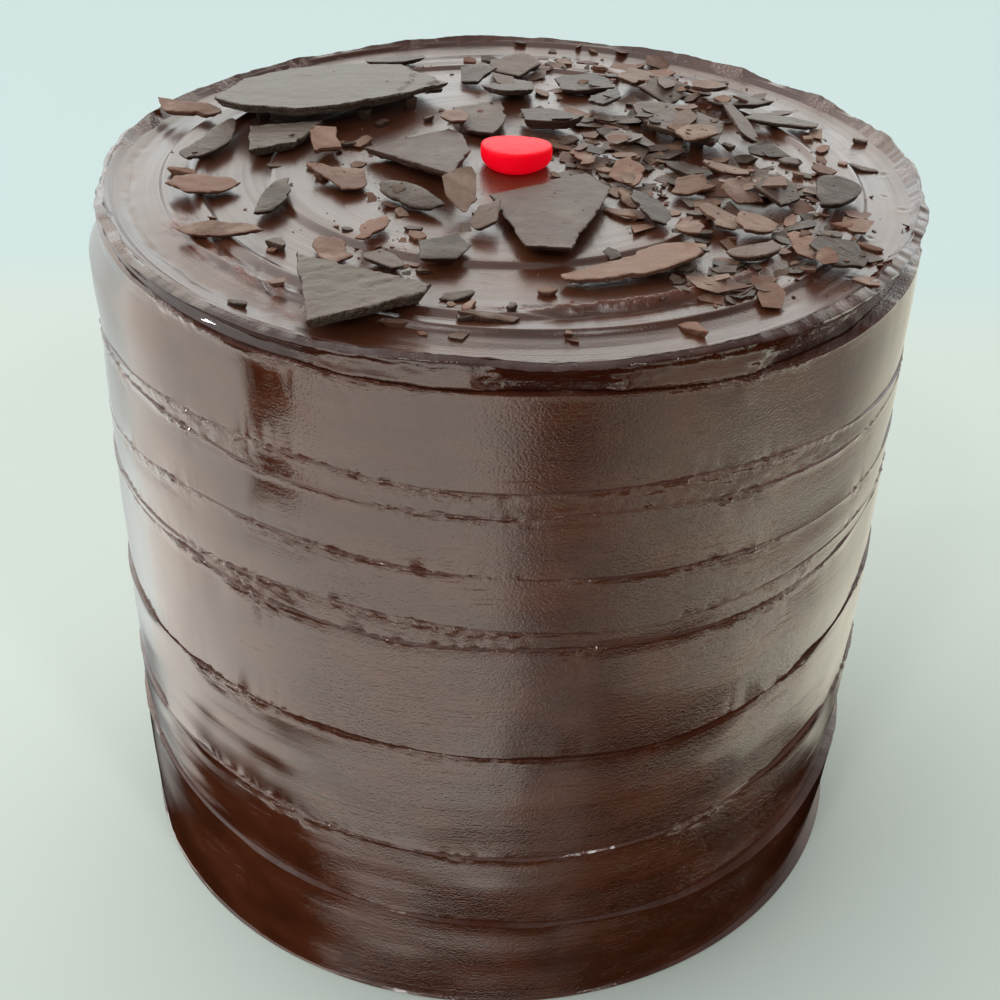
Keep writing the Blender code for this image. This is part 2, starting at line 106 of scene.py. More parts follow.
class Wire:
    def __init__(self, sheet, socket):
        self.sheet = sheet
        self.socket = socket

    def maths(self, operation, *values, clamp=False):
        node = self.sheet.make("ShaderNodeMath", {"operation": operation, "use_clamp": clamp},
                               dict(enumerate(values)))
        return Wire(self.sheet, node.outputs[0])

    def __add__(self, other):
        return self.maths("ADD", self, other)

    def __radd__(self, other):
        return self.maths("ADD", other, self)

    def __sub__(self, other):
        return self.maths("SUBTRACT", self, other)

    def __rsub__(self, other):
        return self.maths("SUBTRACT", other, self)

    def __mul__(self, other):
        return self.maths("MULTIPLY", self, other)

    def __rmul__(self, other):
        return self.maths("MULTIPLY", other, self)

    def __truediv__(self, other):
        return self.maths("DIVIDE", self, other)

    def __pow__(self, other):
        return self.maths("POWER", self, other)

    def step(self, low, high):                     # 0 below low, 1 above high, smooth between
        node = self.sheet.make("ShaderNodeMapRange", {"interpolation_type": "SMOOTHSTEP"},
                               {"Value": self, "From Min": low, "From Max": high})
        return Wire(self.sheet, node.outputs["Result"])

    def window(self, rise, fall):                  # 1 between a rise and a fall, each (from, to)
        return self.step(*rise) * (1 - self.step(*fall))

    def clamped(self):
        return self.maths("ADD", self, 0.0, clamp=True)

    def absolute(self):
        return self.maths("ABSOLUTE", self)


class Sheet:                                       # one material's or the world's nodes
    def __init__(self, tree):
        self.tree = tree
        tree.nodes.clear()

    def make(self, kind, settings=None, values=None):
        node = self.tree.nodes.new(kind)
        for name, setting in (settings or {}).items():
            setattr(node, name, setting)
        for name, value in (values or {}).items():
            if isinstance(value, Wire):
                self.tree.links.new(value.socket, node.inputs[name])
            else:
                node.inputs[name].default_value = value
        return node

    def wire(self, kind, output, settings=None, values=None):
        return Wire(self, self.make(kind, settings, values).outputs[output])

    def place(self):                               # the piece's own coordinates, in millimetres
        coordinates = self.wire("ShaderNodeTexCoord", "Object")
        return self.wire("ShaderNodeVectorMath", 0, {"operation": "SCALE"},
                         {0: coordinates, "Scale": 1000.0})

    def split(self, vector):
        node = self.make("ShaderNodeSeparateXYZ", None, {0: vector})
        return [Wire(self, node.outputs[axis]) for axis in "XYZ"]

    def join(self, x, y, z):
        return self.wire("ShaderNodeCombineXYZ", 0, None, {0: x, 1: y, 2: z})

    def grain(self, vector, size, detail=3.0, rough=0.55, stretch=(1, 1, 1)):
        scaled = self.wire("ShaderNodeVectorMath", 0, {"operation": "MULTIPLY"},
                           {0: vector, 1: tuple(s / size for s in stretch)})
        return self.wire("ShaderNodeTexNoise", "Fac", None,
                         {"Vector": scaled, "Scale": 1.0, "Detail": detail, "Roughness": rough})

    def blend(self, factor, a, b):                 # two colours
        return self.wire("ShaderNodeMix", 2, {"data_type": "RGBA"}, {0: factor, 6: a, 7: b})

    def attribute(self, name):
        return self.wire("ShaderNodeAttribute", "Fac", {"attribute_name": name})

    def relief(self, height):                      # a bumpy normal, from a height in millimetres
        return self.wire("ShaderNodeBump", "Normal", None,
                         {"Height": height, "Distance": mm, "Strength": 1.0})

    def surface(self, **values):
        named = {name.replace("_", " "): value for name, value in values.items()}
        shader = self.make("ShaderNodeBsdfPrincipled", None, named)
        self.make("ShaderNodeOutputMaterial", None, {"Surface": Wire(self, shader.outputs[0])})


def newMaterial(name):
    material = bpy.data.materials.new(name)
    material.use_nodes = True
    return material, Sheet(material.node_tree)


def rgb(red, green, blue):
    return (red, green, blue, 1.0)


# Materials

ganacheLook = {
    "dark": {"side": rgb(0.050, 0.0120, 0.0048), "top": rgb(0.052, 0.0150, 0.0066)},
    "warm": {"side": rgb(0.084, 0.0215, 0.0092), "top": rgb(0.084, 0.0260, 0.0118)},
    "torn": {"side": rgb(0.100, 0.0320, 0.0185), "top": rgb(0.150, 0.0400, 0.0210)},
    # pale spots on torn lumps: painted highlight, light catching the torn edges
    "tornPaintedHighlight": rgb(0.360, 0.1850, 0.1300),
    # wet parts are glossier, and their colour is painted shade: near black where the lip turns under, along
    # the rolled crest and at the top's edge
    "wetPaintedShade": rgb(0.036, 0.0068, 0.0034),
    "side": {"roughness": 0.070, "streak": 0.06, "coat": 0.25, "coatRoughness": 0.06, "tornCoat": 0.45,
             "brush": 0.038, "hair": 0.011, "peel": 0.080, "rough": 0.05, "dashes": 0.0, "lumps": 0.55},
    "top": {"roughness": 0.28, "streak": 0.13, "coat": 0.42, "coatRoughness": 0.20, "tornCoat": -0.30,
            "brush": 0.080, "hair": 0.045, "peel": 0.070, "rough": 0.12, "dashes": 0.60, "lumps": 0.22},
    "glossiest": 0.045, "ior": 1.48,
    "smoothLeft": (-46, -20), "roughFrom": (-32, -5), "peelAcross": ((-42, -22), (52, 70)),
}


def ganacheMaterial(name, part):
    look, finish = ganacheLook, ganacheLook[part]
    material, sheet = newMaterial(name)
    place = sheet.place()
    x, y, z = sheet.split(place)
    radius = (x * x + y * y) ** 0.5
    across = radius if part == "top" else z        # the brush went round, so streaks run round too

    def streaks(along, over, detail, rough):
        return sheet.grain(sheet.join(x * along, y * along, across * over), 1.0, detail, rough)

    brush = streaks(0.016, 0.80, 4.0, 0.62)
    dashes = streaks(0.11, 1.9, 3.0, 0.65)
    hair = streaks(0.05, 2.6, 2.0, 0.6)
    peel = sheet.grain(place, 0.50, 2.0, 0.5, (1, 1, 1.15))
    peel = peel * (0.10 + 0.90 * x.window(*look["peelAcross"]))    # smoother at the sides
    broad = sheet.grain(place, 17.0, 3.0, 0.6, (1, 1, 1.8))
    lumps = sheet.grain(place, 0.55, 3.0, 0.6)
    torn, wetPaintedShade = sheet.attribute("torn"), sheet.attribute("wetPaintedShade")
    tone = sheet.blend(broad.step(0.35, 0.7), look["dark"][part], look["warm"][part])
    # torn edges get pale spots on their lumps: painted highlight
    edge = sheet.blend(lumps.step(0.57, 0.70), look["torn"][part], look["tornPaintedHighlight"])
    tone = sheet.blend((torn * 1.2).clamped(), tone, edge)
    # painted shade: the wet mark darkens the colour where the lip turns under and along the crest
    tone = sheet.blend((wetPaintedShade - torn * 0.7).clamped(), tone, look["wetPaintedShade"])
    gloss = finish["roughness"] + brush.step(0.42, 0.75) * finish["streak"]
    gloss = gloss + broad.step(0.5, 0.75) * 0.03 - torn * 0.02 - wetPaintedShade * 0.05
    streaky = brush * finish["brush"] + hair * finish["hair"]
    if part == "side":                             # the left is the smoothest
        fromLeft = x.step(*look["smoothLeft"])
        gloss = gloss * (0.50 + 0.50 * fromLeft)
        streaky = streaky * (0.30 + 0.70 * fromLeft)
    rough = dashes.step(0.58, 0.80) * broad.step(0.48, 0.66)   # dragged spots, here and there
    rough = rough * (0.20 + 0.80 * x.step(*look["roughFrom"]))
    height = streaky + peel * finish["peel"] + rough * finish["rough"]
    height = height + torn * (dashes * finish["dashes"] + lumps * finish["lumps"])
    sheet.surface(Base_Color=tone, Roughness=gloss.maths("MAXIMUM", gloss, look["glossiest"]),
                  IOR=look["ior"], Normal=sheet.relief(height),
                  Coat_Weight=finish["coat"] + torn * finish["tornCoat"],
                  Coat_Roughness=finish["coatRoughness"])
    return material


pieceLook = {
    "dark": {"cool": rgb(0.132, 0.104, 0.083), "warm": rgb(0.128, 0.063, 0.041),
             "deep": rgb(0.046, 0.027, 0.019), "pale": rgb(0.175, 0.138, 0.114),
             "broken": rgb(0.052, 0.026, 0.018), "roughness": 0.33},
    "milk": {"cool": rgb(0.225, 0.148, 0.110), "warm": rgb(0.215, 0.100, 0.066),
             "deep": rgb(0.120, 0.054, 0.035), "pale": rgb(0.330, 0.225, 0.172),
             "broken": rgb(0.150, 0.062, 0.038), "roughness": 0.44},
    "ior": 1.25,
}


def pieceMaterial(name, kind, raw):                 # raw where the piece broke, else its satin face
    look = pieceLook[kind]
    material, sheet = newMaterial(name)
    place = sheet.place()
    warmth = sheet.attribute("warmth")
    cloud = sheet.grain(place, 8.0, 4.0, 0.6)
    specks = sheet.grain(place, 0.8, 3.0, 0.7)
    dents = sheet.grain(place, 2.1, 2.0, 0.5)
    grit = sheet.grain(place, 0.42, 3.0, 0.7)
    face = sheet.blend(warmth, look["cool"], look["warm"])
    face = sheet.blend(sheet.attribute("shade"), look["deep"], face)
    if raw:
        tone = sheet.blend(grit.step(0.40, 0.62), look["broken"], face)
        tone = sheet.blend(grit.step(0.60, 0.72) * 0.6, tone, look["pale"])
        height = grit * 0.22 + specks * 0.10
    else:
        tone = sheet.blend(cloud.step(0.45, 0.72) * 0.7, face, look["pale"])
        tone = sheet.blend(specks.step(0.58, 0.74) * 0.3, tone, look["pale"])
        tone = sheet.blend(grit.step(0.66, 0.74) * 0.5, tone, look["broken"])
        height = dents.step(0.60, 0.78) * -0.10 + specks * 0.04 + cloud * 0.45
    gloss = look["roughness"] + cloud * 0.16 - specks.step(0.6, 0.8) * 0.05
    sheet.surface(Base_Color=tone, Roughness=gloss, IOR=pieceLook["ior"], Normal=sheet.relief(height))
    return material


sweetLook = {
    # glow: painted light, the sweet emits a little red light though it is no lamp
    "red": rgb(0.82, 0.003, 0.016), "deepRed": rgb(0.72, 0.002, 0.012), "glow": rgb(1.0, 0.0, 0.012),
    "paintedGlowStrength": 0.42, "roughness": 0.34, "ior": 1.16, "coat": 0.06, "coatRoughness": 0.12,
}


def sweetMaterial():
    look = sweetLook
    material, sheet = newMaterial("red_sugar")
    place = sheet.place()
    cloud = sheet.grain(place, 3.5, 3.0, 0.5)
    dimple = sheet.grain(place, 1.3, 2.0, 0.5)
    tone = sheet.blend(cloud.step(0.4, 0.7), look["red"], look["deepRed"])
    # the emission is a painted glow that brightens the red
    sheet.surface(Base_Color=tone, Roughness=look["roughness"] + cloud * 0.12, IOR=look["ior"],
                  Normal=sheet.relief(dimple * 0.05 + cloud * 0.10), Coat_Weight=look["coat"],
                  Coat_Roughness=look["coatRoughness"], Emission_Color=look["glow"],
                  Emission_Strength=look["paintedGlowStrength"])
    return material


sideFinish = ganacheMaterial("ganache_side", "side")
topFinish = ganacheMaterial("ganache_top", "top")
finishes = {(kind, raw): pieceMaterial(f"{kind}_{'broken' if raw else 'face'}", kind, raw)
            for kind in ("dark", "milk") for raw in (False, True)}
sweetFinish = sweetMaterial()
print("materials made")


# The cake's shape, from the same sizes as its solid, in millimetres.

cake = {
    "radius": 80.0, "rimRadius": 79.6, "rimHeight": 148.4, "middle": (0.9, -0.64),
    "middleHeight": 148.6,
    "bodyWaves": ((2, 0.35, 60), (3, 0.2, 10)),
    "leanAtBase": 0.7, "leanAtTop": 2.0, "leanAzimuth": 178,
    "rimWaves": ((1, 0.55, 102), (2, 1.3, 91), (4, 0.5, 11), (5, 0.35, 95)),
    "crestWaves": ((1, 0.35, 60), (7, 0.2, 40), (11, 0.2, 10)),
    "cragSeed": 3, "cragColumns": 72, "cragHeight": 0.3, "cragHeightRight": 0.8,
    "cragAzimuth": 12, "cragSpread": 28,
    "lipOverhang": 0.9, "lipBulge": 0.3, "crestWidth": 0.9,
    "lipSmoothed": 200, "lipSmoothedSpread": 38,
    "ledgeSpacing": 1.6, "ledgeStep": 0.3, "stripUpTo": 5.0,
    "ledges": (
        (143.6, ((1, 1.6, 170), (2, 0.8, 65), (5, 0.5, -40))),
        (124.0, ((1, 1.3, -150), (2, 1.0, 138), (5, 0.8, 69))),
        (120.9, ((1, 1.4, 170), (2, 1.1, 66), (5, 0.7, 0))),
        (106.6, ((1, 0.9, -85), (2, 1.5, 128), (3, 1.4, -12), (5, 0.6, 47))),
        (97.0, ((2, 0.6, 80), (3, 0.6, -12), (5, 0.8, 170))),
        (95.0, ((1, 1.0, 89), (2, 1.6, 29), (3, 1.0, -27), (5, 0.8, -42))),
        (69.4, ((1, 3.0, 8), (2, 1.1, 11), (3, 2.6, -26), (5, 0.6, -85))),
        (45.6, ((1, 2.2, 18), (2, 1.5, -1), (3, 2.3, -45))),
        (26.4, ((1, 2.6, 157), (2, 2.0, 41), (3, 0.8, -93), (5, 0.6, -71))),
    ),
    "band": ((0.0, 0.1, 0.45, 0.85, 1.0), (0.34, 0.22, 0.18, -0.18, -0.32)),
    "strip": ((0.0, 0.5, 1.0), (0.34, 0.12, -0.24)),
    "terraces": (
        (77.9, 148.0, ()), (76.3, 147.0, ((3, 0.5, 30),)), (72.0, 146.6, ((2, 0.5, 100),)),
        (67.6, 147.0, ((1, 1.4, -110), (2, 0.7, -60))),
        (66.4, 148.0, ((1, 1.4, -110), (2, 0.7, -60))),
        (62.6, 147.7, ((1, 1.8, -130), (3, 0.9, 20))),
        (60.4, 148.6, ((1, 1.8, -130), (3, 0.9, 20))),
        (58.8, 147.9, ((1, 1.8, -130), (3, 0.9, 20))),
        (45.5, 147.9, ((1, 2.0, -160), (2, 1.2, 50))),
        (43.9, 148.8, ((1, 2.0, -160), (2, 1.2, 50))),
        (24.0, 148.5, ((2, 1.0, 20),)),
    ),
}
skin = {                                           # azimuths in degrees, -90 in front
    "columns": 992, "ringsPerBand": 15, "ringsPerStrip": 7, "ringsPerLowBand": 24, "firstLowBand": 6,
    "ragged": 0.46, "curl": 0.14, "crumble": 0.60, "shred": 0.75, "crest": 0.38, "sharp": 42,
    "wave": 0.28, "brush": 0.045, "footHeight": 0.6, "footCorner": (0.5, 0.25),
    "leanFrom": 7, "leanIn": 0.018, "leanInFront": (-22, 36, 0.050),
    "fromTop": (0.0, 0.10, 0.26, 0.46, 0.72, 1.05, 1.5, 2.1, 2.9), "fromFoot": (0.95, 0.45, 0.16, 0.0),
    "wornSpots": (                                 # ledge, azimuth and spread
        (0, -112, 14), (0, -62, 10), (1, -130, 12), (1, -100, 9), (1, -60, 16), (2, -97, 12),
        (3, -147, 7), (3, -112, 6), (3, -60, 9), (4, -126, 9), (4, -100, 12), (5, -50, 10),
        (5, -122, 6), (6, -128, 8), (6, -98, 10), (7, -118, 10), (7, -60, 8),
    ),
}
azimuths = np.arange(skin["columns"]) * twoPi / skin["columns"]
bearings = turnFrom(azimuths, 0)                   # the same in degrees, -180 to 180
roundX, roundY = cake["radius"] * np.cos(azimuths), cake["radius"] * np.sin(azimuths)


def roundNoise(size, level, octaves, seed):        # noise that runs on round the side
    return fractal(roundX / size, roundY / size, level, octaves, seed)


def waves(terms):
    total = np.zeros_like(azimuths)
    for times, amount, term in terms:
        total += amount * np.cos(times * azimuths - math.radians(term))
    return total


def bodyRadius(height):
    share = height / cake["rimHeight"]
    lean = cake["leanAtBase"] + (cake["leanAtTop"] - cake["leanAtBase"]) * share
    return (cake["radius"] + lean * np.cos(azimuths - math.radians(cake["leanAzimuth"]))
            + waves(cake["bodyWaves"]))


def ledgeHeights():
    heights = []
    for height, terms in cake["ledges"]:
        here = height + waves(terms)
        if heights:
            here = np.minimum(here, heights[-1] - cake["ledgeSpacing"])
        heights.append(here)
    return heights


def crags():
    draw = random.Random(cake["cragSeed"])
    heights = []
    for column in range(cake["cragColumns"]):
        away = (360 * column / cake["cragColumns"] - cake["cragAzimuth"] + 180) % 360 - 180
        ragged = math.exp(-(away / cake["cragSpread"]) ** 2)
        most = cake["cragHeight"] + (cake["cragHeightRight"] - cake["cragHeight"]) * ragged
        heights.append(draw.uniform(-most, most))
    places = np.arange(cake["cragColumns"] + 1) * twoPi / cake["cragColumns"]
    return np.interp(azimuths, places, heights + heights[:1])


def raggedEdge(seed, amount):                      # torn line: slow drift, small teeth, a few bites
    slow = roundNoise(9, seed * 7.3, 3, seed)
    teeth = roundNoise(1.7, seed * 3.1, 2, seed + 40)
    worn = smoothStep(0.05, 0.6, roundNoise(14, seed * 1.7, 2, seed + 80))
    for ledge, degrees, width in skin["wornSpots"]:
        if ledge == seed - 1:
            worn = np.maximum(worn, bump(turnFrom(azimuths, degrees), 0, width))
    return amount * (0.55 * slow + 0.75 * worn * teeth), worn


def newPiece(name, mesh, *materials):
    for material in materials:
        mesh.materials.append(material)
    piece = bpy.data.objects.new(name, mesh)
    bpy.context.scene.collection.objects.link(piece)
    return piece


def makeMesh(name, points, faces, smooth=True):
    mesh = bpy.data.meshes.new(name)
    mesh.from_pydata([tuple(p) for p in points], [], faces)
    mesh.update()
    if smooth:
        mesh.shade_smooth()
    return mesh


def gridObject(name, rings, marks, material):      # rings of points round the cake, closed by fans
    rows, columns = len(rings), skin["columns"]
    points = np.array(rings).reshape(-1, 3) * mm
    ends = np.array([[*cake["middle"], rings[end][:, 2].mean()] for end in (0, -1)]) * mm
    points = np.vstack([points, ends])
    ring, column = np.meshgrid(np.arange(rows - 1), np.arange(columns), indexing="ij")
    beside = (column + 1) % columns
    quads = np.stack([ring * columns + column, (ring + 1) * columns + column,
                      (ring + 1) * columns + beside, ring * columns + beside], axis=-1).reshape(-1, 4)
    around = np.arange(columns)
    nextOne = (around + 1) % columns
    last = (rows - 1) * columns
    count = rows * columns
    first = np.stack([np.full(columns, count), around, nextOne], axis=-1)
    final = np.stack([np.full(columns, count + 1), last + nextOne, last + around], axis=-1)
    mesh = bpy.data.meshes.new(name)
    mesh.vertices.add(len(points))
    mesh.vertices.foreach_set("co", points.astype(np.float32).ravel())
    loops = np.concatenate([quads.ravel(), first.ravel(), final.ravel()])
    starts = np.concatenate([np.arange(len(quads)) * 4,
                             len(quads) * 4 + np.arange(2 * columns) * 3])
    mesh.loops.add(len(loops))
    mesh.loops.foreach_set("vertex_index", loops.astype(np.int32))
    mesh.polygons.add(len(starts))
    mesh.polygons.foreach_set("loop_start", starts.astype(np.int32))
    mesh.update(calc_edges=True)
    mesh.validate()
    mesh.shade_smooth()
    mesh.set_sharp_from_angle(angle=math.radians(skin["sharp"]))
    for mark, values in marks.items():
        layer = mesh.attributes.new(mark, "FLOAT", "POINT")
        flat = np.concatenate([np.array(values).ravel(), [0.0, 0.0]])
        layer.data.foreach_set("value", flat.astype(np.float32))
    return newPiece(name, mesh, material)


def ridden(piece, slot, *nodes):
    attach(piece, "root")
    if nodes:
        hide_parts(*nodes)
    return piece


def ringAt(radius, height):
    height = np.broadcast_to(height, azimuths.shape)
    return np.stack([cake["middle"][0] + radius * np.cos(azimuths),
                     cake["middle"][1] + radius * np.sin(azimuths), height], axis=-1)


# Side: bands with torn upper edges, from the lip's crest down to the floor.

def sideRing(height, proud, torn, wetPaintedShade):
    wave = skin["wave"] * roundNoise(34, height / 15, 3, 5)
    brush = skin["brush"] * roundNoise(30, height / 1.3, 2, 9)
    return ringAt(bodyRadius(height) + proud + wave + brush, height), torn, wetPaintedShade


def presence(ledge):                               # how far the ledge stands out, fading in places
    return 0.18 + 0.82 * smoothStep(-0.35, 0.35, roundNoise(20, ledge * 5.1, 3, 110 + ledge))


def bandRings(index, top, foot, edge, worn, rings, profile):
    made = []
    above, below = presence(index), presence(index + 1)
    curlReach = 0.5 + 0.25 * roundNoise(5, index * 2.2, 2, 60 + index)
    start = top - cake["ledgeStep"] + edge
    tall = float(np.mean(start - foot))
    steep = min(max(tall / 22, 0.2), 1.0)          # narrow bands lean less
    near = [d / tall for d in skin["fromTop"] if d < tall * 0.5]
    far = [1 - d / tall for d in skin["fromFoot"] if d < tall * 0.4]
    middle = np.linspace(near[-1], far[0], max(rings - len(near) - len(far), 1) + 2)[1:-1]
    curl = skin["curl"] * (0.3 + worn) * (1 + 0.8 * roundNoise(2.2, index, 2, 30 + index))
    leanAt, leanSpread, leanMost = skin["leanInFront"]
    lean = skin["leanIn"] + leanMost * bump(turnFrom(azimuths, leanAt), 0, leanSpread)
    for share in [*near, *middle, *far]:
        height = start + (foot - start) * share
        fromTop, fromFoot = share * tall, (1 - share) * tall
        standing = above + (below - above) * smoothStep(0.3, 0.7, share)
        proud = np.interp(share, *profile) * standing * steep + curl * above * np.exp(-fromTop / curlReach)
        if index >= skin["leanFrom"]:              # the two lowest bands lean in a little
            proud = proud - fromTop * lean
        if index == 0:
            proud = proud - hollow() * (1 - smoothStep(3.0, 8.5, fromTop) - 0.2 * bump(fromTop, 11, 4))
        crumble = worn * (np.exp(-fromTop / 0.8) + 0.6 * np.exp(-fromFoot / 0.6))
        proud = proud + skin["crumble"] * crumble * roundNoise(1.25, height / 1.1, 2, 70 + index)
        layers = np.abs(roundNoise(4.5, height / 0.55, 2, 90 + index))
        shred = worn ** 2 * np.exp(-(fromTop / 2.2) ** 2) * layers
        proud = proud - skin["shred"] * shred
        torn = np.exp(-fromTop / 0.30) * (0.08 + worn) + crumble * 0.25 + shred * 1.3
        made.append(sideRing(height, proud, np.clip(torn, 0, 1), np.zeros_like(azimuths)))
    return made


lip = {                                            # azimuths in degrees, -90 in front; sizes in mm
    "dark": ((-92, -77, 1.5, 1.4), (-58, -8, 4.0, 2.5), (-164, -112, 4.0, 1.9)),
    "roll": (-166, -4, 8.0), "rollOut": 0.45, "torn": 0.85, "folds": (180, 26, 1.3),
    "tucks": ((180, 26, 0.6), (-8, 30, 1.3)), "hollow": (182, 28, 2.7),
    "raggedest": (8, 38), "smear": 0.45, "wrinkle": 0.20, "lumps": 0.22, "rope": 0.40, "sway": 3.0,
    "crestShare": 0.12, "bulgeShare": 0.5, "shares": (
        0.0, 0.04, 0.08, 0.12, 0.17, 0.23, 0.3, 0.38, 0.46, 0.54, 0.62, 0.7, 0.78, 0.85, 0.91, 0.96, 1.0),
}


def atSpot(spot):                                  # azimuth, spread and depth of one soft dent or swell
    degrees, spread, depth = spot
    return depth * bump(turnFrom(azimuths, degrees), 0, spread)


def hollow():                                      # under the lip the left wall draws in
    return atSpot(lip["hollow"])


def between(value, low, high, soft):
    return smoothStep(low - soft, low + soft, value) * (1 - smoothStep(high - soft, high + soft, value))


def lipProfile(share, overhang):                   # how far the lip stands out, from crest to foot
    crest, bulge = lip["crestShare"], lip["bulgeShare"]
    if share < crest:
        return -cake["crestWidth"] * (1 - math.sin(math.pi / 2 * share / crest))
    if share <= bulge:
        return np.interp(share, (crest, bulge), (0.0, cake["lipBulge"])) * np.ones_like(azimuths)
    hung = np.interp(share, (bulge, 0.88, 0.96, 1.0), (0, 1, 0.6, -2)) * overhang / 2
    return hung + cake["lipBulge"] * (1 - smoothStep(bulge, 1.0, share))


def lipShadow(height):                             # where the face turns under, and how far, so looks dark; the same mask also paints shade into the colour
    sway = lip["sway"] * roundNoise(4.5, height / 1.3, 3, 31)
    dark, lean = np.zeros_like(azimuths), np.zeros_like(azimuths)
    for low, high, soft, most in lip["dark"]:
        here = between(bearings + sway, low, high, soft)
        dark, lean = np.maximum(dark, here), np.maximum(lean, here * most)
    return dark, lean


def lipRings():
    rim = cake["rimRadius"] + waves(cake["rimWaves"])
    for tuck in lip["tucks"]:
        rim = rim - atSpot(tuck)
    raggedAt, raggedSpread = lip["raggedest"]
    ragged = 1 + 1.6 * bump(turnFrom(azimuths, raggedAt), 0, raggedSpread)
    away = np.abs(turnFrom(azimuths, cake["lipSmoothed"]))
    free = smoothStep(cake["lipSmoothedSpread"] - 2, cake["lipSmoothedSpread"] + 24, away)
    teeth = roundNoise(2.4, 3.3, 2, 21) * ragged * (0.25 + 0.45 * free)
    drift = roundNoise(8, 1.3, 3, 22) * ragged
    crest = cake["rimHeight"] + waves(cake["crestWaves"]) + crags() + skin["crest"] * (teeth + drift * 0.8)
    footEdge, worn = raggedEdge(17, 0.9)
    foot = ledgeHeights()[0] + footEdge * free
    swell = (bodyRadius(foot) + cake["band"][1][0] - hollow() - rim) * (1 - free)
    roll = between(bearings, *lip["roll"])
    made = []
    for share in lip["shares"]:
        height = crest + (foot - crest) * share
        inside = math.sin(math.pi * share)
        smear = lip["smear"] * inside * roundNoise(8, height / 3.2, 3, 25) * (0.15 + 0.85 * free)
        wrinkle = lip["wrinkle"] * math.exp(-share / 0.2) * roundNoise(1.7, height / 1.1, 2, 29)
        lumps = lip["lumps"] * roundNoise(2.3, height / 1.5, 2, 26) * (0.35 + ragged * 0.3)
        rope = lip["rope"] * math.exp(-share / 0.16) * roundNoise(3.2, height / 2, 3, 27)
        folds = atSpot(lip["folds"]) * roundNoise(5.5, height / 2.6, 2, 33)
        dark, lean = lipShadow(height)
        out = lipProfile(share, cake["lipOverhang"] * free) * (1 - 0.6 * dark * (share > 0.5))
        out = out + smear * (1 - 0.6 * dark) + (wrinkle + lumps) * (0.15 + 0.85 * free)
        out = out + rope + folds + swell * smoothStep(0.60, 0.97, share)
        under = lean * (0.36 - min(share, 0.9)) + roll * lip["rollOut"] * (1 - smoothStep(0.14, 0.40, share))
        out = out + under * smoothStep(0.0, lip["crestShare"], share)
        torn = lip["torn"] * math.exp(-(share / 0.11) ** 2) * smoothStep(-0.5, 0.3, drift)
        torn = torn * (1 - 0.75 * roll) + worn * math.exp(-(1 - share) / 0.07) * free
        # wet: glossier, and painted shade, a near-black colour on the rolled crest and where the face turns
        # under
        wetPaintedShade = np.maximum(roll * math.exp(-(share / 0.30) ** 4), dark)
        wetPaintedShade = wetPaintedShade * smoothStep(-0.55, -0.1, roundNoise(7, height / 3, 3, 28))
        made.append((ringAt(rim + out, height), np.clip(torn, 0, 1), np.clip(wetPaintedShade, 0, 1)))
    return made, crest, rim


def buildSide():
    tops = ledgeHeights()
    edges = [raggedEdge(index + 1, skin["ragged"]) for index in range(len(tops))]
    rings, crest, rim = lipRings()
    uppers, lowers = list(rings), []
    for index, top in enumerate(tops):
        last = index + 1 == len(tops)
        foot = np.full_like(top, skin["footHeight"]) if last else tops[index + 1] + edges[index + 1][0] * 0.5
        nominal = cake["ledges"][index][0] - (0 if last else cake["ledges"][index + 1][0])
        strip = nominal < cake["stripUpTo"]
        low = index >= skin["firstLowBand"]
        count = skin["ringsPerLowBand"] if low else skin["ringsPerStrip" if strip else "ringsPerBand"]
        made = bandRings(index, top, foot, *edges[index], count, cake["strip" if strip else "band"])
        (lowers if low else uppers).extend(made)
    base = bodyRadius(0.0) + cake["band"][1][-1]
    zero = np.zeros_like(azimuths)
    inwards, upwards = skin["footCorner"]
    lowers.append((ringAt(base, upwards), zero, zero))
    lowers.append((ringAt(base - inwards, 0.0), zero, zero))
    uppers.insert(0, (ringAt(rim - 8, cake["terraces"][1][1] - 4.0), zero, zero))
    uppers.append((uppers[-1][0] * [0.9, 0.9, 1.0], zero, zero))    # both parts close inside the cake
    lowers.insert(0, (lowers[0][0] * [0.9, 0.9, 1.0] + [0, 0, 1.0], zero, zero))
    for name, rows in (("side_upper", uppers), ("side_lower", lowers)):
        marks = {"torn": [row[1] for row in rows], "wetPaintedShade": [row[2] for row in rows]}
        ridden(gridObject(name, [row[0] for row in rows], marks, sideFinish), "ganache", "cake")
    return crest, rim


crest, rim = buildSide()
print("side built")


# Top: rings from the crest in to the middle, with steps, brush arcs, a torn ridge and a scraped patch.

topDetail = {                                      # sizes in mm, azimuths in degrees
    "arcs": 0.045, "ripple": 0.018, "swell": 0.10,
    "ridge": 1.15, "ridgeRadius": 60.2, "ridgeWidth": 0.8, "ridgeSpan": (-66, 30), "besideRidge": 0.40,
    "scrape": 0.75, "scrapeFrom": (-60, -31), "scrapeAlong": (26, -30), "scrapeWidth": 3.2,
    "groove": 0.45, "grooveRadius": 74.4, "grooveWidth": 0.8, "grooveSpan": (195, 42),
    "dip": 0.30, "dipRadius": 76.0, "dipWidth": 2.6, "dipSpan": (-84, 34), "pitDepth": 0.2, "pitRim": 0.05,
    "pits": ((74, -8, 1.0), (71, -3, 0.8), (73, 6, 1.2), (70, 14, 0.8), (74, 17, 0.7), (69, -20, 0.9),
             (72, 27, 1.0), (66, 24, 0.8), (71, -35, 0.7), (73, 35, 0.9), (68, 40, 0.7), (75, -25, 0.6)),
    "ringsPerStep": (6, 8, 7, 8, 7, 8, 8, 7, 12, 7, 9, 8), "innermost": 3.0, "edgeTorn": 0.25, "edgeWetPaintedShade": 0.8,
}


def alongSpan(azimuth, span):
    middle, spread = span
    return bump(turnFrom(azimuth, middle), 0, spread)


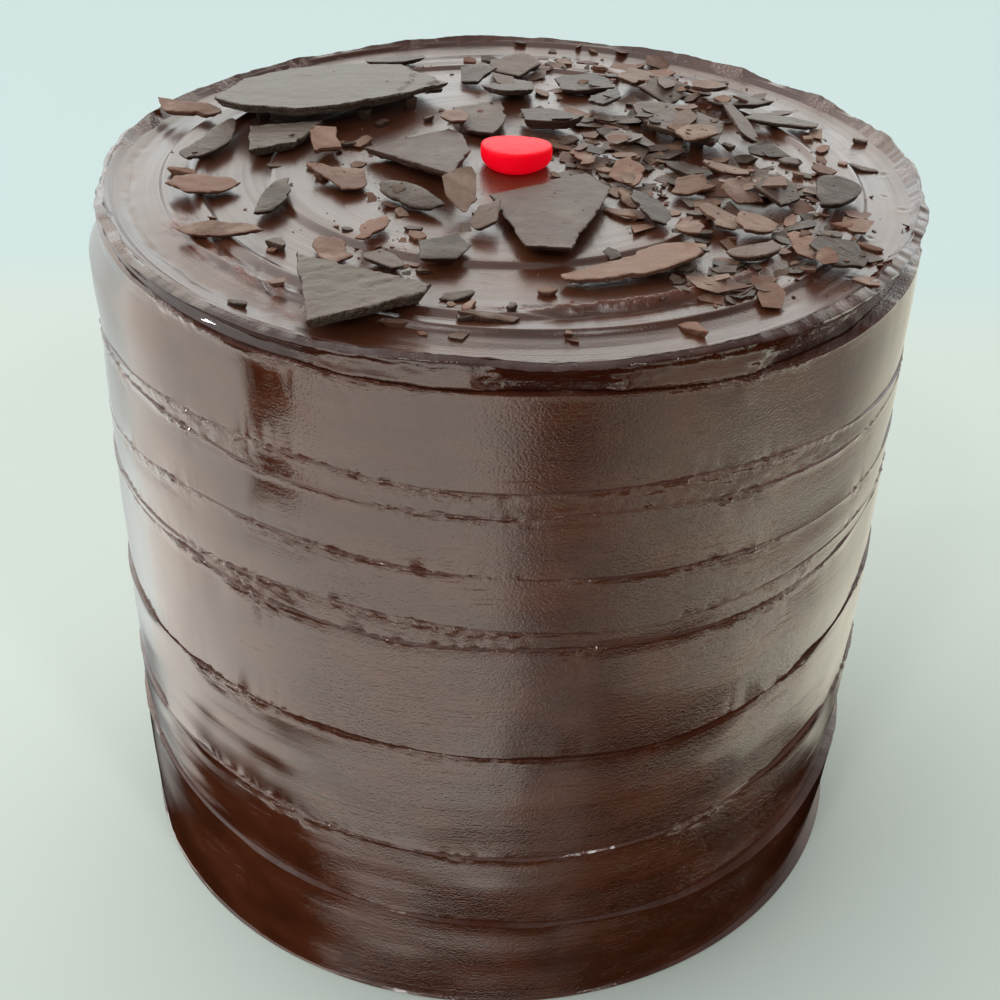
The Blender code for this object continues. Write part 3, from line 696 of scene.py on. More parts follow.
def scrapedPatch(x, y):                            # where the brush dragged, and how rough it is there
    fromX, fromY = topDetail["scrapeFrom"]
    alongX, alongY = topDetail["scrapeAlong"]
    along = np.clip(((x - fromX) * alongX + (y - fromY) * alongY) / (alongX ** 2 + alongY ** 2), 0, 1)
    aside = np.hypot(x - (fromX + alongX * along), y - (fromY + alongY * along))
    ragged = smoothStep(0.3, 0.6, 0.6 + fractal(x / 5, y / 5, 1, 2, 55))
    rough = fractal((x * 0.65 - y * 0.76) / 5.0, (x * 0.76 + y * 0.65) / 0.9, 1.1, 3, 56)
    return bump(aside, 0, topDetail["scrapeWidth"]) * ragged, rough


def topRelief(x, y, radius, azimuth):
    detail = topDetail
    height = detail["arcs"] * fractal(x / 26, y / 26, radius / 1.9, 2, 50)
    height = height + detail["ripple"] * fractal(x / 16, y / 16, radius / 0.8, 2, 51)
    height = height + detail["swell"] * fractal(x / 14, y / 14, 0.3, 3, 52)
    onRidge = alongSpan(azimuth, detail["ridgeSpan"])
    ridgeRadius = detail["ridgeRadius"] + 1.2 * fractal(x / 9, y / 9, 4.4, 2, 53)
    jag = 0.55 + 0.9 * np.abs(fractal(x / 1.9, y / 1.9, 2.2, 3, 54))
    ridge = bump(radius, ridgeRadius, detail["ridgeWidth"]) * onRidge * jag
    height = height + detail["ridge"] * ridge
    height = height - detail["besideRidge"] * bump(radius, ridgeRadius + 1.9, 0.6) * onRidge
    scraped, rough = scrapedPatch(x, y)
    height = height + detail["scrape"] * scraped * (0.35 + rough)
    grooveRadius = detail["grooveRadius"] + 0.9 * fractal(x / 8, y / 8, 7.7, 3, 57)
    groove = bump(radius, grooveRadius, detail["grooveWidth"]) * alongSpan(azimuth, detail["grooveSpan"])
    height = height - detail["groove"] * groove * (0.7 + 0.6 * fractal(x / 4, y / 4, 2, 2, 58))
    dip = bump(radius, detail["dipRadius"], detail["dipWidth"]) * alongSpan(azimuth, detail["dipSpan"])
    height = height - detail["dip"] * dip
    for pitRadius, degrees, size in detail["pits"]:
        angle = math.radians(degrees)
        away = np.hypot(x - pitRadius * math.cos(angle), y - pitRadius * math.sin(angle))
        height = height - detail["pitDepth"] * bump(away, 0, 0.6 * size)
        height = height + detail["pitRim"] * bump(away, 1.2 * size, 0.5 * size)
    torn = np.clip(ridge * 0.8 + scraped * (0.5 + rough), 0, 1)
    return height, torn


def buildTop():
    pull = waves(cake["rimWaves"])
    border = rim - cake["crestWidth"]
    levels = [(border, crest)]
    for radius, height, terms in cake["terraces"]:
        share = radius / cake["rimRadius"]
        levels.append((radius + waves(terms) + pull * share ** 3, np.full_like(azimuths, height)))
    zero = np.zeros_like(azimuths)
    levels.append((zero + topDetail["innermost"], zero + cake["middleHeight"]))
    spans = topDetail["ringsPerStep"]
    rings, torns, wetPaintedShades = [ringAt(rim - 8, cake["terraces"][1][1] - 4.5)], [zero], [zero]
    for index, count in enumerate(spans):
        (radiusA, heightA), (radiusB, heightB) = levels[index], levels[index + 1]
        steep = abs(float(np.mean(heightB - heightA))) > 0.5 and index != 0
        for step in range(count + (index + 1 == len(spans))):
            share = step / count
            rise = share * share * (3 - 2 * share) if steep else share
            radius = radiusA + (radiusB - radiusA) * share
            x, y = radius * np.cos(azimuths), radius * np.sin(azimuths)
            relief, torn = topRelief(x, y, radius, azimuths)
            fade = smoothStep(0, 3.0, np.abs(radius - border))
            edge = bump(radius, border, 1.1)
            height = heightA + (heightB - heightA) * rise + relief * np.maximum(fade, 0.05)
            rings.append(ringAt(radius, height))
            torns.append(np.clip(torn + edge * topDetail["edgeTorn"], 0, 1))
            # the crest edge is wet: glossier, with painted shade darkening its colour
            wetPaintedShades.append(np.clip(edge * topDetail["edgeWetPaintedShade"], 0, 1))
    marks = {"torn": torns, "wetPaintedShade": wetPaintedShades}
    return ridden(gridObject("top", rings, marks, topFinish), "ganache", "cake")


top = buildTop()
print("top built")


# Broken pieces: each node's outline and slope come from the frame; its edges and faces are broken up here.

broken = {
    "pitch": 0.8, "finePitch": 0.42, "bevel": 0.10, "under": 0.55, "thin": 0.25, "least": 0.2, "sharp": 38,
    "rows": (0.08, 0.25, 0.5, 0.75, 0.92),         # rows of points down the broken edge
    "edge": {"dark": 0.36, "milk": 0.55}, "curl": {"dark": 0.14, "milk": 0.75},
    "fine": ("slab_front_left", "ridged_left", "slab_back_left"),
    "softShare": {"dark": 0.22, "milk": 0.40},     # how many of the corners are round
    "soft": {"slab_front_left": 0, "slab_centre": 0, "slab_mid_left": 0, "slab_back_left": 0,
             "ridged_left": 0, "curved_left": 0.7, "leaf_right": 0.8, "long_flake": 0.6, "rim_flake": 0.3},
    "warmth": {"slab_back_left": 0.0, "slab_front_left": 0.05, "slab_centre": 0.60, "slab_mid_left": 1.0,
               "ridged_left": 0.0, "long_flake": 0.45, "leaf_right": 0.5},
    "shade": {"slab_back_left": 1.0, "slab_front_left": 1.0, "slab_centre": 0.48, "slab_mid_left": 0.40,
              "ridged_left": 1.0, "long_flake": 0.95, "leaf_right": 0.0, "slab_back_right": 0.55},
}
slotOf = {entry["node"]: entry["material_slot"] for entry in frame["record"]["subparts"]}


def outlineOf(node):                               # corners in order, and the plane of the underside
    mesh = frame["nodes"][node].data
    points = np.array([v.co[:] for v in mesh.vertices]) / mm
    links = {}
    keyOf = lambda p: (round(float(p[0]), 2), round(float(p[1]), 2))
    for face in mesh.polygons:
        if abs(face.normal.z) > 0.2:
            continue
        ends = sorted({keyOf(points[v]) for v in face.vertices})
        if len(ends) == 2:
            links.setdefault(ends[0], set()).add(ends[1])
            links.setdefault(ends[1], set()).add(ends[0])
    start = min(links)
    loop, before, here = [start], None, start
    while True:
        ahead = [k for k in sorted(links[here]) if k != before]
        before, here = here, ahead[0]
        if here == start:
            break
        loop.append(here)
    loop = np.array(loop)
    x, y = loop[:, 0], loop[:, 1]
    if np.sum(x * np.roll(y, -1) - np.roll(x, -1) * y) < 0:
        loop = loop[::-1]
    lowest, highest = [], []
    for corner in loop:
        near = points[np.hypot(points[:, 0] - corner[0], points[:, 1] - corner[1]) < 0.05, 2]
        lowest.append(near.min())
        highest.append(near.max())
    flat = np.column_stack([loop, np.ones(len(loop))])
    plane = np.linalg.lstsq(flat, np.array(lowest), rcond=None)[0]
    return loop, plane, float(np.mean(np.array(highest) - np.array(lowest)))


def breakEdge(loop, seed, pitch, amount):          # a finer outline, bitten a little inwards
    points, inwards = [], []
    for a, b in zip(loop, np.roll(loop, -1, axis=0)):
        length = np.hypot(*(b - a))
        count = max(1, int(round(length / pitch)))
        normal = np.array([-(b - a)[1], (b - a)[0]]) / length
        for step in range(count):
            points.append(a + (b - a) * step / count)
            inwards.append(normal)
    points, inwards = np.array(points), np.array(inwards)
    smoothed = inwards + np.roll(inwards, 1, axis=0) + np.roll(inwards, -1, axis=0)
    smoothed /= np.linalg.norm(smoothed, axis=1)[:, None]
    x, y = points[:, 0], points[:, 1]
    slow = fractal(x / 5.5, y / 5.5, seed, 2, seed)
    notch = np.maximum(fractal(x / 2.1, y / 2.1, seed, 2, seed + 17) - 0.1, 0)
    bite = amount * (0.45 + 0.9 * slow + 2.3 * notch + 0.30 * noise(x / 0.8, y / 0.8, 0, seed + 19))
    bite = np.clip(bite, -0.05, 3.2 * amount)
    return points + smoothed * bite[:, None], smoothed


def softened(loop, share, draw):                   # some of an outline's corners made round
    points = []
    for before, here, after in zip(np.roll(loop, 1, axis=0), loop, np.roll(loop, -1, axis=0)):
        if draw.random() >= share:
            points.append(here)
            continue
        start, end = here + (before - here) * 0.44, here + (after - here) * 0.44
        for t in (0, 0.25, 0.5, 0.75, 1):
            points.append(start * (1 - t) ** 2 + here * 2 * t * (1 - t) + end * t * t)
    return np.array(points)


def faceRelief(node, kind, x, y, seed):
    wavy = 0.10 * fractal(x / 5, y / 5, seed, 3, seed + 9)
    if node == "slab_front_left":                  # short low waves, roughly along its length
        along, across = 0.95 * x + 0.30 * y, -0.30 * x + 0.95 * y
        return 1.2 * wavy + 0.14 * fractal(along / 4.2, across / 1.25, 0.5, 3, 33)
    if node == "ridged_left":
        along, across = 0.98 * x - 0.2 * y, 0.2 * x + 0.98 * y
        ridge = np.abs(fractal(along / 5.5, across / 1.0, 1.0, 2, 34))
        return wavy + 0.45 * ridge - 0.10
    if node == "slab_back_left":                   # satin face, split into layers at its right end
        low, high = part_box(node)
        along = (x * mm - low[0]) / (high[0] - low[0])
        ragged = 0.07 * fractal(x / 3, y / 3, 1.0, 3, 12)
        split = smoothStep(0.80, 0.83, along + ragged) + smoothStep(0.90, 0.93, along + ragged * 1.4)
        return wavy + 0.10 * fractal(x / 9, y / 3, 2.0, 3, 12) - 0.38 * split
    if kind == "milk":
        return wavy + 0.20 * fractal(x / 3.0, y / 3.0, seed, 3, seed + 13)
    return wavy


def planOf(outline, inwards, pitch):                # the face inside its bevel, filled with triangles
    inner = outline + inwards * broken["bevel"]
    least, most = inner.min(axis=0), inner.max(axis=0)
    grid = np.array([(x, y) for x in np.arange(least[0] + pitch / 2, most[0], pitch)
                     for y in np.arange(least[1] + pitch / 2, most[1], pitch)]).reshape(-1, 2)
    count = len(inner)
    deep = insideBy(inner, grid, pitch * 0.45) if len(grid) else []
    spots = [Vector(p) for p in inner] + [Vector(p) for p, ok in zip(grid, deep) if ok]
    ring = [(i, (i + 1) % count) for i in range(count)]
    flat = geometry.delaunay_2d_cdt(spots, ring, [], 1, 1e-5)
    backTo = {old: new for new, olds in enumerate(flat[3]) for old in olds}
    return np.array([v[:] for v in flat[0]]), [list(f) for f in flat[2]], [backTo[i] for i in range(count)]


def slab(loop, low, high, seed, kind, node=""):     # points, cells and slots of one broken piece
    size = np.ptp(loop, axis=0)
    small = size.max() < 10
    pitch = broken["finePitch"] if node in broken["fine"] else broken["pitch"] * (0.6 if small else 1)
    amount = broken["edge"][kind] * (0.55 if small else 1.0)
    share = broken["soft"].get(node, broken["softShare"][kind])
    outline, inwards = breakEdge(softened(loop, share, random.Random(seed * 7)), seed, pitch, amount)
    middle = outline.mean(axis=0)
    plan, faces, edge = planOf(outline, inwards, pitch)
    count = len(edge)
    reach = np.hypot(*(loop - middle).T).max()
    draw = random.Random(seed * 31)
    bend = broken["curl"][kind] * draw.uniform(0.3, 1.0) * (0.5 if small else 1)
    axis = draw.uniform(0, math.pi)
    shrink = 1 - min(broken["under"] / max(size.min() / 2, 0.5), 0.22)

    def lift(x, y):
        across = ((x - middle[0]) * math.cos(axis) + (y - middle[1]) * math.sin(axis)) / reach
        return np.maximum(bend * across ** 2 - bend * 0.3, 0)

    x, y = plan[:, 0], plan[:, 1]
    upper = high(x, y) + lift(x, y) + faceRelief(node, kind, x, y, seed)
    x2, y2 = middle[0] + (x - middle[0]) * shrink, middle[1] + (y - middle[1]) * shrink
    lower = low(x2, y2) + lift(x2, y2) * 0.8 + 0.05 * fractal(x / 2, y / 2, 0, 2, seed + 3)
    lower = np.minimum(lower, upper - broken["least"])
    lower[edge] += (upper[edge] - lower[edge]) * broken["thin"]
    total = len(plan)
    cells = [list(f) for f in faces] + [[v + total for v in reversed(f)] for f in faces]
    slots = [0] * len(cells)
    upperEdge, lowerEdge = upper[edge], lower[edge]
    thickness = float(np.mean(upperEdge - lowerEdge))
    made = list(np.column_stack([x, y, upper])) + list(np.column_stack([x2, y2, lower]))
    rows = [edge]
    for share in broken["rows"]:
        level = share * thickness
        rough = fractal(outline[:, 0] / 0.9, outline[:, 1] / 0.9, level * 2.5, 2, seed + 5)
        layer = 0.14 * noise(outline[:, 0] / 4, outline[:, 1] / 4, level * 3, seed + 6)
        push = -0.04 + 0.08 * rough + layer * (0.5 if small else 1)
        spot = outline + inwards * push[:, None]
        spot = middle + (spot - middle) * (1 + (shrink - 1) * smoothStep(0.15, 1.0, share))
        start = len(made)
        made += list(np.column_stack([spot, upperEdge + (lowerEdge - upperEdge) * share]))
        rows.append(list(range(start, start + count)))
    rows.append([v + total for v in edge])
    for upperRow, lowerRow in zip(rows, rows[1:]):
        for i in range(count):
            j = (i + 1) % count
            cells.append([upperRow[i], lowerRow[i], lowerRow[j], upperRow[j]])
            slots.append(1)
    warmth = broken["warmth"].get(node, draw.random())
    shade = broken["shade"].get(node, draw.random())
    return np.array(made), cells, slots, (warmth, shade)


def setTones(mesh, tones):
    for mark, values in zip(("warmth", "shade"), zip(*tones)):
        mesh.attributes.new(mark, "FLOAT", "POINT").data.foreach_set("value", values)


def brokenObject(name, kind, parts):
    points, cells, slots, tones, start = [], [], [], [], 0
    for made, faces, marks, tone in parts:
        points.append(made)
        cells += [[v + start for v in face] for face in faces]
        slots += marks
        tones += [tone] * len(made)
        start += len(made)
    mesh = makeMesh(name, np.vstack(points) * mm, cells)
    mesh.polygons.foreach_set("material_index", slots)
    setTones(mesh, tones)
    mesh.set_sharp_from_angle(angle=math.radians(broken["sharp"]))
    return newPiece(name, mesh, finishes[kind, False], finishes[kind, True])


def buildPiece(node, seed):
    kind = slotOf[node]
    loop, plane, thickness = outlineOf(node)

    def low(x, y):
        return plane[0] * x + plane[1] * y + plane[2]

    def high(x, y):
        return low(x, y) + thickness

    piece = brokenObject(node + "_broken", kind, [slab(loop, low, high, seed, kind, node)])
    return ridden(piece, kind, node)


def insideBy(loop, points, margin):                # which points lie inside a loop, and off its edge
    x, y = points[:, 0], points[:, 1]
    inside = np.zeros(len(points), bool)
    nearest = np.full(len(points), 1e9)
    for (ax, ay), (bx, by) in zip(loop, np.roll(loop, -1, axis=0)):
        if ay != by:
            spans = (y >= ay) != (y >= by)
            inside ^= spans & (x < ax + (y - ay) * (bx - ax) / (by - ay))
        share = ((x - ax) * (bx - ax) + (y - ay) * (by - ay)) / ((bx - ax) ** 2 + (by - ay) ** 2)
        share = np.clip(share, 0, 1)
        away = np.hypot(x - ax - share * (bx - ax), y - ay - share * (by - ay))
        nearest = np.minimum(nearest, away)
    return inside & (nearest > margin)


pieceNodes = [n for n in sorted(frame["nodes"]) if slotOf[n] in ("dark", "milk")]
pieces = [buildPiece(node, number + 1) for number, node in enumerate(pieceNodes)]
print("broken pieces built:", len(pieces))


# Small flakes and props: drawn as in the solid they are fused to, and given their own colours here.

flakes = {
    "seed": 5, "count": 22, "size": (2.6, 5.2), "shape": (0.5, 0.9), "height": (0.7, 1.3),
    "ring": (12.0, 66.0), "sink": 0.6, "tilt": 0.18, "placedHeight": 0.9, "propWidth": 4.0,
    "corners": (5, 5, 6, 7), "reach": (0.42, 0.56), "stray": 0.3, "milkShare": 0.45,
    "kindSeed": 8, "firstSeed": 300, "lookFrom": 0.19,
    "props": (
        (-32, 22, 2.2), (-23, 29, 2.4), (-53, 23, 2.0), (-17, -59, 1.3), (8, -36, 0.9),
        (-14, -6, 1.5), (36, 14, 1.6), (29, -43, 0.9), (27, 22, 1.4),
    ),
    "placed": (
        (29, -62.5, 10.0, 3.0, 135), (69, 9, 8.0, 3.2, 175), (60, -22, 5.5, 2.4, 0),
        (-9, -57, 7.0, 3.6, 20), (-17, -65, 9.0, 3.4, 12), (6, -54, 4.5, 3.2, 0),
        (17, -39, 5.0, 4.2, 90), (64, -29, 6.0, 2.2, 160), (62, 22, 5.0, 2.4, 40),
        (-45, -60, 5.0, 2.0, 150), (8, 61, 7.0, 3.0, 10), (33, 57, 6.0, 3.0, 170),
        (-31, 8, 7.0, 3.0, 61), (-46, -5, 5.3, 3.2, 17), (-38, -6, 6.0, 3.0, 152),
        (-63, -9, 6.5, 2.5, 178), (-22, -13, 6.0, 3.6, 122), (-17, -36, 4.7, 3.0, 137),
        (-26, -49, 3.3, 3.0, 132), (-3, -64, 12.0, 2.8, 2), (-7, -61, 5.0, 3.0, 62),
        (19, -22, 8.8, 4.0, 143), (21, -16, 6.9, 3.5, 123), (18, 18, 6.1, 4.0, 135),
        (23, 14, 6.0, 3.5, 121), (10, 13, 5.8, 3.0, 45), (17, -2, 6.0, 3.0, 162),
        (41, 2, 6.8, 4.0, 156), (47, -4, 4.0, 3.5, 147), (54, 8, 5.0, 4.0, 141),
        (57, -26, 5.1, 3.0, 164), (71, 24, 3.7, 2.6, 171), (44, 56, 6.2, 3.5, 11),
        (34, 52, 5.4, 4.0, 31), (22, 60, 5.6, 5.0, 18), (9, 65, 8.0, 4.0, 7),
        (34, -28, 4.1, 4.0, 16), (36, -45, 6.5, 3.6, 23), (31, -49, 4.2, 3.0, 32),
        (-7, 64, 5.6, 4.0, 162),
    ),
}


def brokenOutline(length, width, draw):
    corners = draw.choice(flakes["corners"])
    start = draw.uniform(0, twoPi)
    outline = []
    for corner in range(corners):
        stray = draw.uniform(-flakes["stray"], flakes["stray"])
        angle = start + (corner + stray) * twoPi / corners
        reach = draw.uniform(*flakes["reach"])
        outline.append((length * reach * math.cos(angle), width * reach * math.sin(angle)))
    return np.array(outline)


def flakePlaces(draw):
    wide = flakes["propWidth"]
    places = [(x, y, wide, wide, 0.0, height, 0.0) for x, y, height in flakes["props"]]
    for x, y, length, width, turn in flakes["placed"]:
        places.append((x, y, length, width, turn, flakes["placedHeight"], flakes["tilt"]))
    for _ in range(flakes["count"]):
        azimuth = draw.uniform(0, twoPi)
        radius = math.sqrt(draw.uniform(flakes["ring"][0] ** 2, flakes["ring"][1] ** 2))
        length = draw.uniform(*flakes["size"])
        places.append((radius * math.cos(azimuth), radius * math.sin(azimuth), length,
                       length * draw.uniform(*flakes["shape"]), draw.uniform(0, 180),
                       draw.uniform(*flakes["height"]), flakes["tilt"]))
    return places


def treeOf(pieces):                                # one search tree over several pieces, in metres
    points, cells = [], []
    for piece in pieces:
        start = len(points)
        points += [v.co for v in piece.data.vertices]
        cells += [[v + start for v in face.vertices] for face in piece.data.polygons]
    return BVHTree.FromPolygons(points, cells)


def heightUnder(tree, x, y):
    hit = tree.ray_cast(Vector((x * mm, y * mm, flakes["lookFrom"])), Vector((0, 0, -1)))
    return hit[0].z / mm if hit[0] else None


def buildFlakes():
    draw, pick = random.Random(flakes["seed"]), random.Random(flakes["kindSeed"])
    tree = treeOf([top])
    made = {"dark": [], "milk": []}
    for number, (x, y, length, width, turn, height, tilt) in enumerate(flakePlaces(draw)):
        middle = np.array([x + cake["middle"][0], y + cake["middle"][1]])
        around = brokenOutline(length, width, draw)
        c, s = math.cos(math.radians(turn)), math.sin(math.radians(turn))
        loop = middle + around @ np.array([[c, s], [-s, c]])
        slopeX, slopeY = draw.uniform(-tilt, tilt), draw.uniform(-tilt, tilt)
        below = [heightUnder(tree, u, v) for u, v in loop]
        base = min(h for h in below if h is not None) - flakes["sink"]
        kind = "milk" if number >= len(flakes["props"]) and pick.random() < flakes["milkShare"] else "dark"

        def low(u, v):
            return np.full_like(u, base)

        def high(u, v):
            rise = slopeX * (u - middle[0]) + slopeY * (v - middle[1])
            return base + flakes["sink"] + height + rise

        made[kind].append(slab(loop, low, high, flakes["firstSeed"] + number, kind))
    return [ridden(brokenObject(f"small_flakes_{kind}", kind, parts), kind, "cake")
            for kind, parts in made.items()]


smallFlakes = buildFlakes()
print("small flakes built")


# Red sweet: a listed side profile standing on the solid's base, with its corners rounded by cutting them.

sweet = {
    "radius": 6.9, "at": (-0.4, 0.0), "lobes": 0.05, "turn": -66, "columns": 120, "thickness": 4.25,
    "lean": 0.095, "dent": 0.05, "dentTurn": 0.8,
    "side": ((0.0, 0.0), (0.66, 0.0), (0.89, 0.25), (0.97, 0.8), (1.0, 1.6), (1.0, 3.1), (0.985, 3.65),
             (0.955, 3.90), (0.90, 4.00), (0.45, 4.20), (0.0, 4.25)),
}


def rounded(points, times):                        # cuts each corner twice, keeps the two ends
    points = np.array(points, float)
    for _ in range(times):
        near = points[:-1] * 0.75 + points[1:] * 0.25
        far = points[:-1] * 0.25 + points[1:] * 0.75
        middle = np.stack([near, far], axis=1).reshape(-1, points.shape[1])
        points = np.vstack([points[:1], middle, points[-1:]])
    return points


def buildSweet():
    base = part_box("sweet")[0][2] / mm
    side = rounded(sweet["side"], 1)[1:-1]
    middle = [at + shift for at, shift in zip(sweet["at"], cake["middle"])]
    columns = sweet["columns"]
    points, faces = [], []
    for share, rise in side:
        for column in range(columns):
            azimuth = twoPi * column / columns
            reach = sweet["radius"] * share * (
                1 + sweet["lobes"] * math.cos(3 * azimuth + math.radians(sweet["turn"])))
            dent = sweet["dent"] * math.sin(2 * azimuth + sweet["dentTurn"]) * share
            dent = dent - sweet["lean"] * reach * math.sin(azimuth)
            points.append((middle[0] + reach * math.cos(azimuth), middle[1] + reach * math.sin(azimuth),
                           base + rise + dent * rise / sweet["thickness"]))
    for ring in range(len(side) - 1):
        for column in range(columns):
            beside = (column + 1) % columns
            faces.append((ring * columns + column, ring * columns + beside,
                          (ring + 1) * columns + beside, (ring + 1) * columns + column))
    bottom, peak = len(points), len(points) + 1
    points += [(*middle, base), (*middle, base + sweet["thickness"])]
    last = (len(side) - 1) * columns
    for column in range(columns):
        beside = (column + 1) % columns
        faces.append((bottom, beside, column))
        faces.append((peak, last + column, last + beside))
    mesh = makeMesh("red_sweet", np.array(points) * mm, faces)
    ridden(newPiece("red_sweet", mesh, sweetFinish), "sweet", "sweet")


buildSweet()
print("sweet built")


# Crumbs: tiny broken grains that lie on whatever is under them, thickest at the right and the back.

crumbs = {                                         # sizes in mm: half of a crumb's width
    "seed": 12, "flakes": 300, "shards": 420, "grains": 1300, "flakeSize": (1.7, 4.3),
    "shardSize": (0.5, 1.7), "grainSize": (0.10, 0.34), "reach": 70.0,
    "corners": (4, 5, 6, 7), "longer": (1.0, 1.8), "thickness": (0.16, 0.42), "thickest": 1.6,
    "bigger": 1.7, "tilt": 0.35, "biggerTilt": 0.20, "nearest": (0.55, 1.0), "stray": 0.3, "taper": 0.12,
    "milkShare": 0.5, "onPieces": 0.35, "grainSized": 0.3, "facedFrom": 0.8, "lowestGround": 140,
    "sweetSpot": (0.5, -0.6, 7.5), "heapAt": 20, "heapHalf": 80,
    "heaps": ((-21, -18, 3.0, 0.05), (16, 4, 6.0, 0.07), (38, -8, 11.0, 0.22), (36, -46, 5.0, 0.06),
              (20, 20, 8.0, 0.08), (-22, -44, 5.0, 0.03), (-30, 0, 6.0, 0.04), (56, -36, 6.0, 0.05),
              (22, 50, 20.0, 0.16)),
    "keepClear": ("slab_back_left", "slab_mid_left", "slab_centre", "slab_front_left", "leaf_right"),
}


def crumbPlaces(draw, count):
    places = []
    for x, y, spread, share in crumbs["heaps"]:
        places += [(draw.gauss(x, spread), draw.gauss(y, spread)) for _ in range(int(share * count))]
    while len(places) < count:
        azimuth, radius = draw.uniform(0, twoPi), crumbs["reach"] * math.sqrt(draw.random())
        if draw.random() < 0.30 + 0.70 * math.exp(-(turnFrom(azimuth, 25) / 75) ** 2):
            places.append((radius * math.cos(azimuth), radius * math.sin(azimuth)))
    return places


def drawCrumb(draw, low, high):                    # all that chance decides about one crumb, in order
    crumb = {"size": low + (high - low) * draw.random() ** 2}
    crumb["turn"] = draw.uniform(0, twoPi)
    corners = draw.choice(crumbs["corners"])
    crumb["longer"] = draw.uniform(*crumbs["longer"])
    crumb["thick"] = min(crumb["size"], crumbs["thickest"]) * draw.uniform(*crumbs["thickness"])
    most = crumbs["tilt" if crumb["size"] < crumbs["bigger"] else "biggerTilt"]
    crumb["tilt"] = (draw.uniform(-most, most), draw.uniform(-most, most))
    crumb["tone"] = (draw.random(), draw.random())
    crumb["keep"] = draw.random()
    reaches = [draw.uniform(*crumbs["nearest"]) for _ in range(corners)]
    strays = [draw.uniform(-crumbs["stray"], crumbs["stray"]) for _ in range(corners)]
    crumb["corners"] = [((corner + stray) * twoPi / corners, reach)
                        for corner, (stray, reach) in enumerate(zip(strays, reaches))]
    crumb["kind"] = "milk" if draw.random() < crumbs["milkShare"] else "dark"
    return crumb


def crumbPoints(crumb, x, y, ground):              # its lower and its upper outline
    size, (tiltX, tiltY) = crumb["size"], crumb["tilt"]
    c, s = math.cos(crumb["turn"]), math.sin(crumb["turn"])
    points = []
    for level in (0, 1):
        shrink = 1 - crumbs["taper"] * (1 - level)
        for angle, reach in crumb["corners"]:
            u = size * reach * math.cos(angle) * crumb["longer"]
            v = size * reach * math.sin(angle)
            across, along = u * c - v * s, u * s + v * c
            rise = crumb["thick"] * (level - 0.25) + tiltX * across + tiltY * along + 0.3 * size * abs(tiltX)
            points.append((x + across * shrink, y + along * shrink, ground + rise))
    return points


def buildCrumbs():
    draw = random.Random(crumbs["seed"])
    tree, onlyTop = treeOf([top] + pieces + smallFlakes), treeOf([top])
    slabs = [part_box(node) for node in crumbs["keepClear"]]
    sweetX, sweetY, sweetReach = crumbs["sweetSpot"]

    def lies(sort, crumb, x, y, ground, bare):
        if ground is None or bare is None or bare < crumbs["lowestGround"]:
            return False
        if math.hypot(x - sweetX, y - sweetY) < sweetReach:
            return False
        onSlab = any(low[0] < x * mm < high[0] and low[1] < y * mm < high[1] for low, high in slabs)
        fewer = crumb["keep"] > crumbs["onPieces"] or (onSlab and crumb["size"] > crumbs["grainSized"])
        if ground - bare > 0.4 and fewer:          # few stay on the pieces
            return False
        away = turnFrom(math.atan2(y, x), crumbs["heapAt"])
        return sort != "flakes" or abs(away) <= crumbs["heapHalf"]    # the bigger ones lie in the heap

    made = {"dark": ([], [], [], []), "milk": ([], [], [], [])}
    for sort, sizeName in (("flakes", "flakeSize"), ("shards", "shardSize"), ("grains", "grainSize")):
        for x, y in crumbPlaces(draw, crumbs[sort]):
            x, y = x + cake["middle"][0], y + cake["middle"][1]
            ground, bare = heightUnder(tree, x, y), heightUnder(onlyTop, x, y)
            crumb = drawCrumb(draw, *crumbs[sizeName])
            if not lies(sort, crumb, x, y, ground, bare):
                continue
            points, faces, tones, slots = made[crumb["kind"]]
            start, corners = len(points), len(crumb["corners"])
            points += crumbPoints(crumb, x, y, ground)
            faces.append(tuple(start + corner for corner in reversed(range(corners))))
            faces.append(tuple(start + corners + corner for corner in range(corners)))
            for corner in range(corners):
                beside = (corner + 1) % corners
                faces.append((start + corner, start + beside, start + corners + beside,
                              start + corners + corner))
            tones += [crumb["tone"]] * (2 * corners)
            slots += [0, 0 if crumb["size"] > crumbs["facedFrom"] else 1] + [1] * corners
    for kind, (points, faces, tones, slots) in made.items():
        mesh = makeMesh(f"crumbs_{kind}", np.array(points) * mm, faces, smooth=False)
        setTones(mesh, tones)
        mesh.polygons.foreach_set("material_index", slots)
        ridden(newPiece(f"crumbs_{kind}", mesh, finishes[kind, False], finishes[kind, True]), kind)


buildCrumbs()
print("crumbs built")


# Camera at the photograph's angle

camera = {"place": (0.9, -295.508, 266.602), "pitch": 0.58686, "yaw": -0.00307, "roll": 0.037664,
          "lens": 57.6, "sensor": 36.0, "seesFrom": 0.01, "seesTo": 200}


def buildCamera():
    data = bpy.data.cameras.new("camera")
    data.lens, data.sensor_width = camera["lens"], camera["sensor"]
    data.clip_start, data.clip_end = camera["seesFrom"], camera["seesTo"]
    seen = bpy.data.objects.new("camera", data)
    pitch, yaw, roll = camera["pitch"], camera["yaw"], camera["roll"]
    ahead = Vector((math.sin(yaw) * math.cos(pitch), math.cos(yaw) * math.cos(pitch), -math.sin(pitch)))
    right = Vector((math.cos(yaw), -math.sin(yaw), 0))
    above = right.cross(ahead)
    side = math.cos(roll) * right + math.sin(roll) * above
    up = -math.sin(roll) * right + math.cos(roll) * above
    matrix = seen.matrix_world.to_3x3()
    matrix.col[0], matrix.col[1], matrix.col[2] = side, up, -ahead
    seen.matrix_world = matrix.to_4x4()
    seen.location = Vector(camera["place"]) * mm
    bpy.context.scene.collection.objects.link(seen)
    bpy.context.scene.camera = seen


buildCamera()


# Plain pale floor and soft studio light

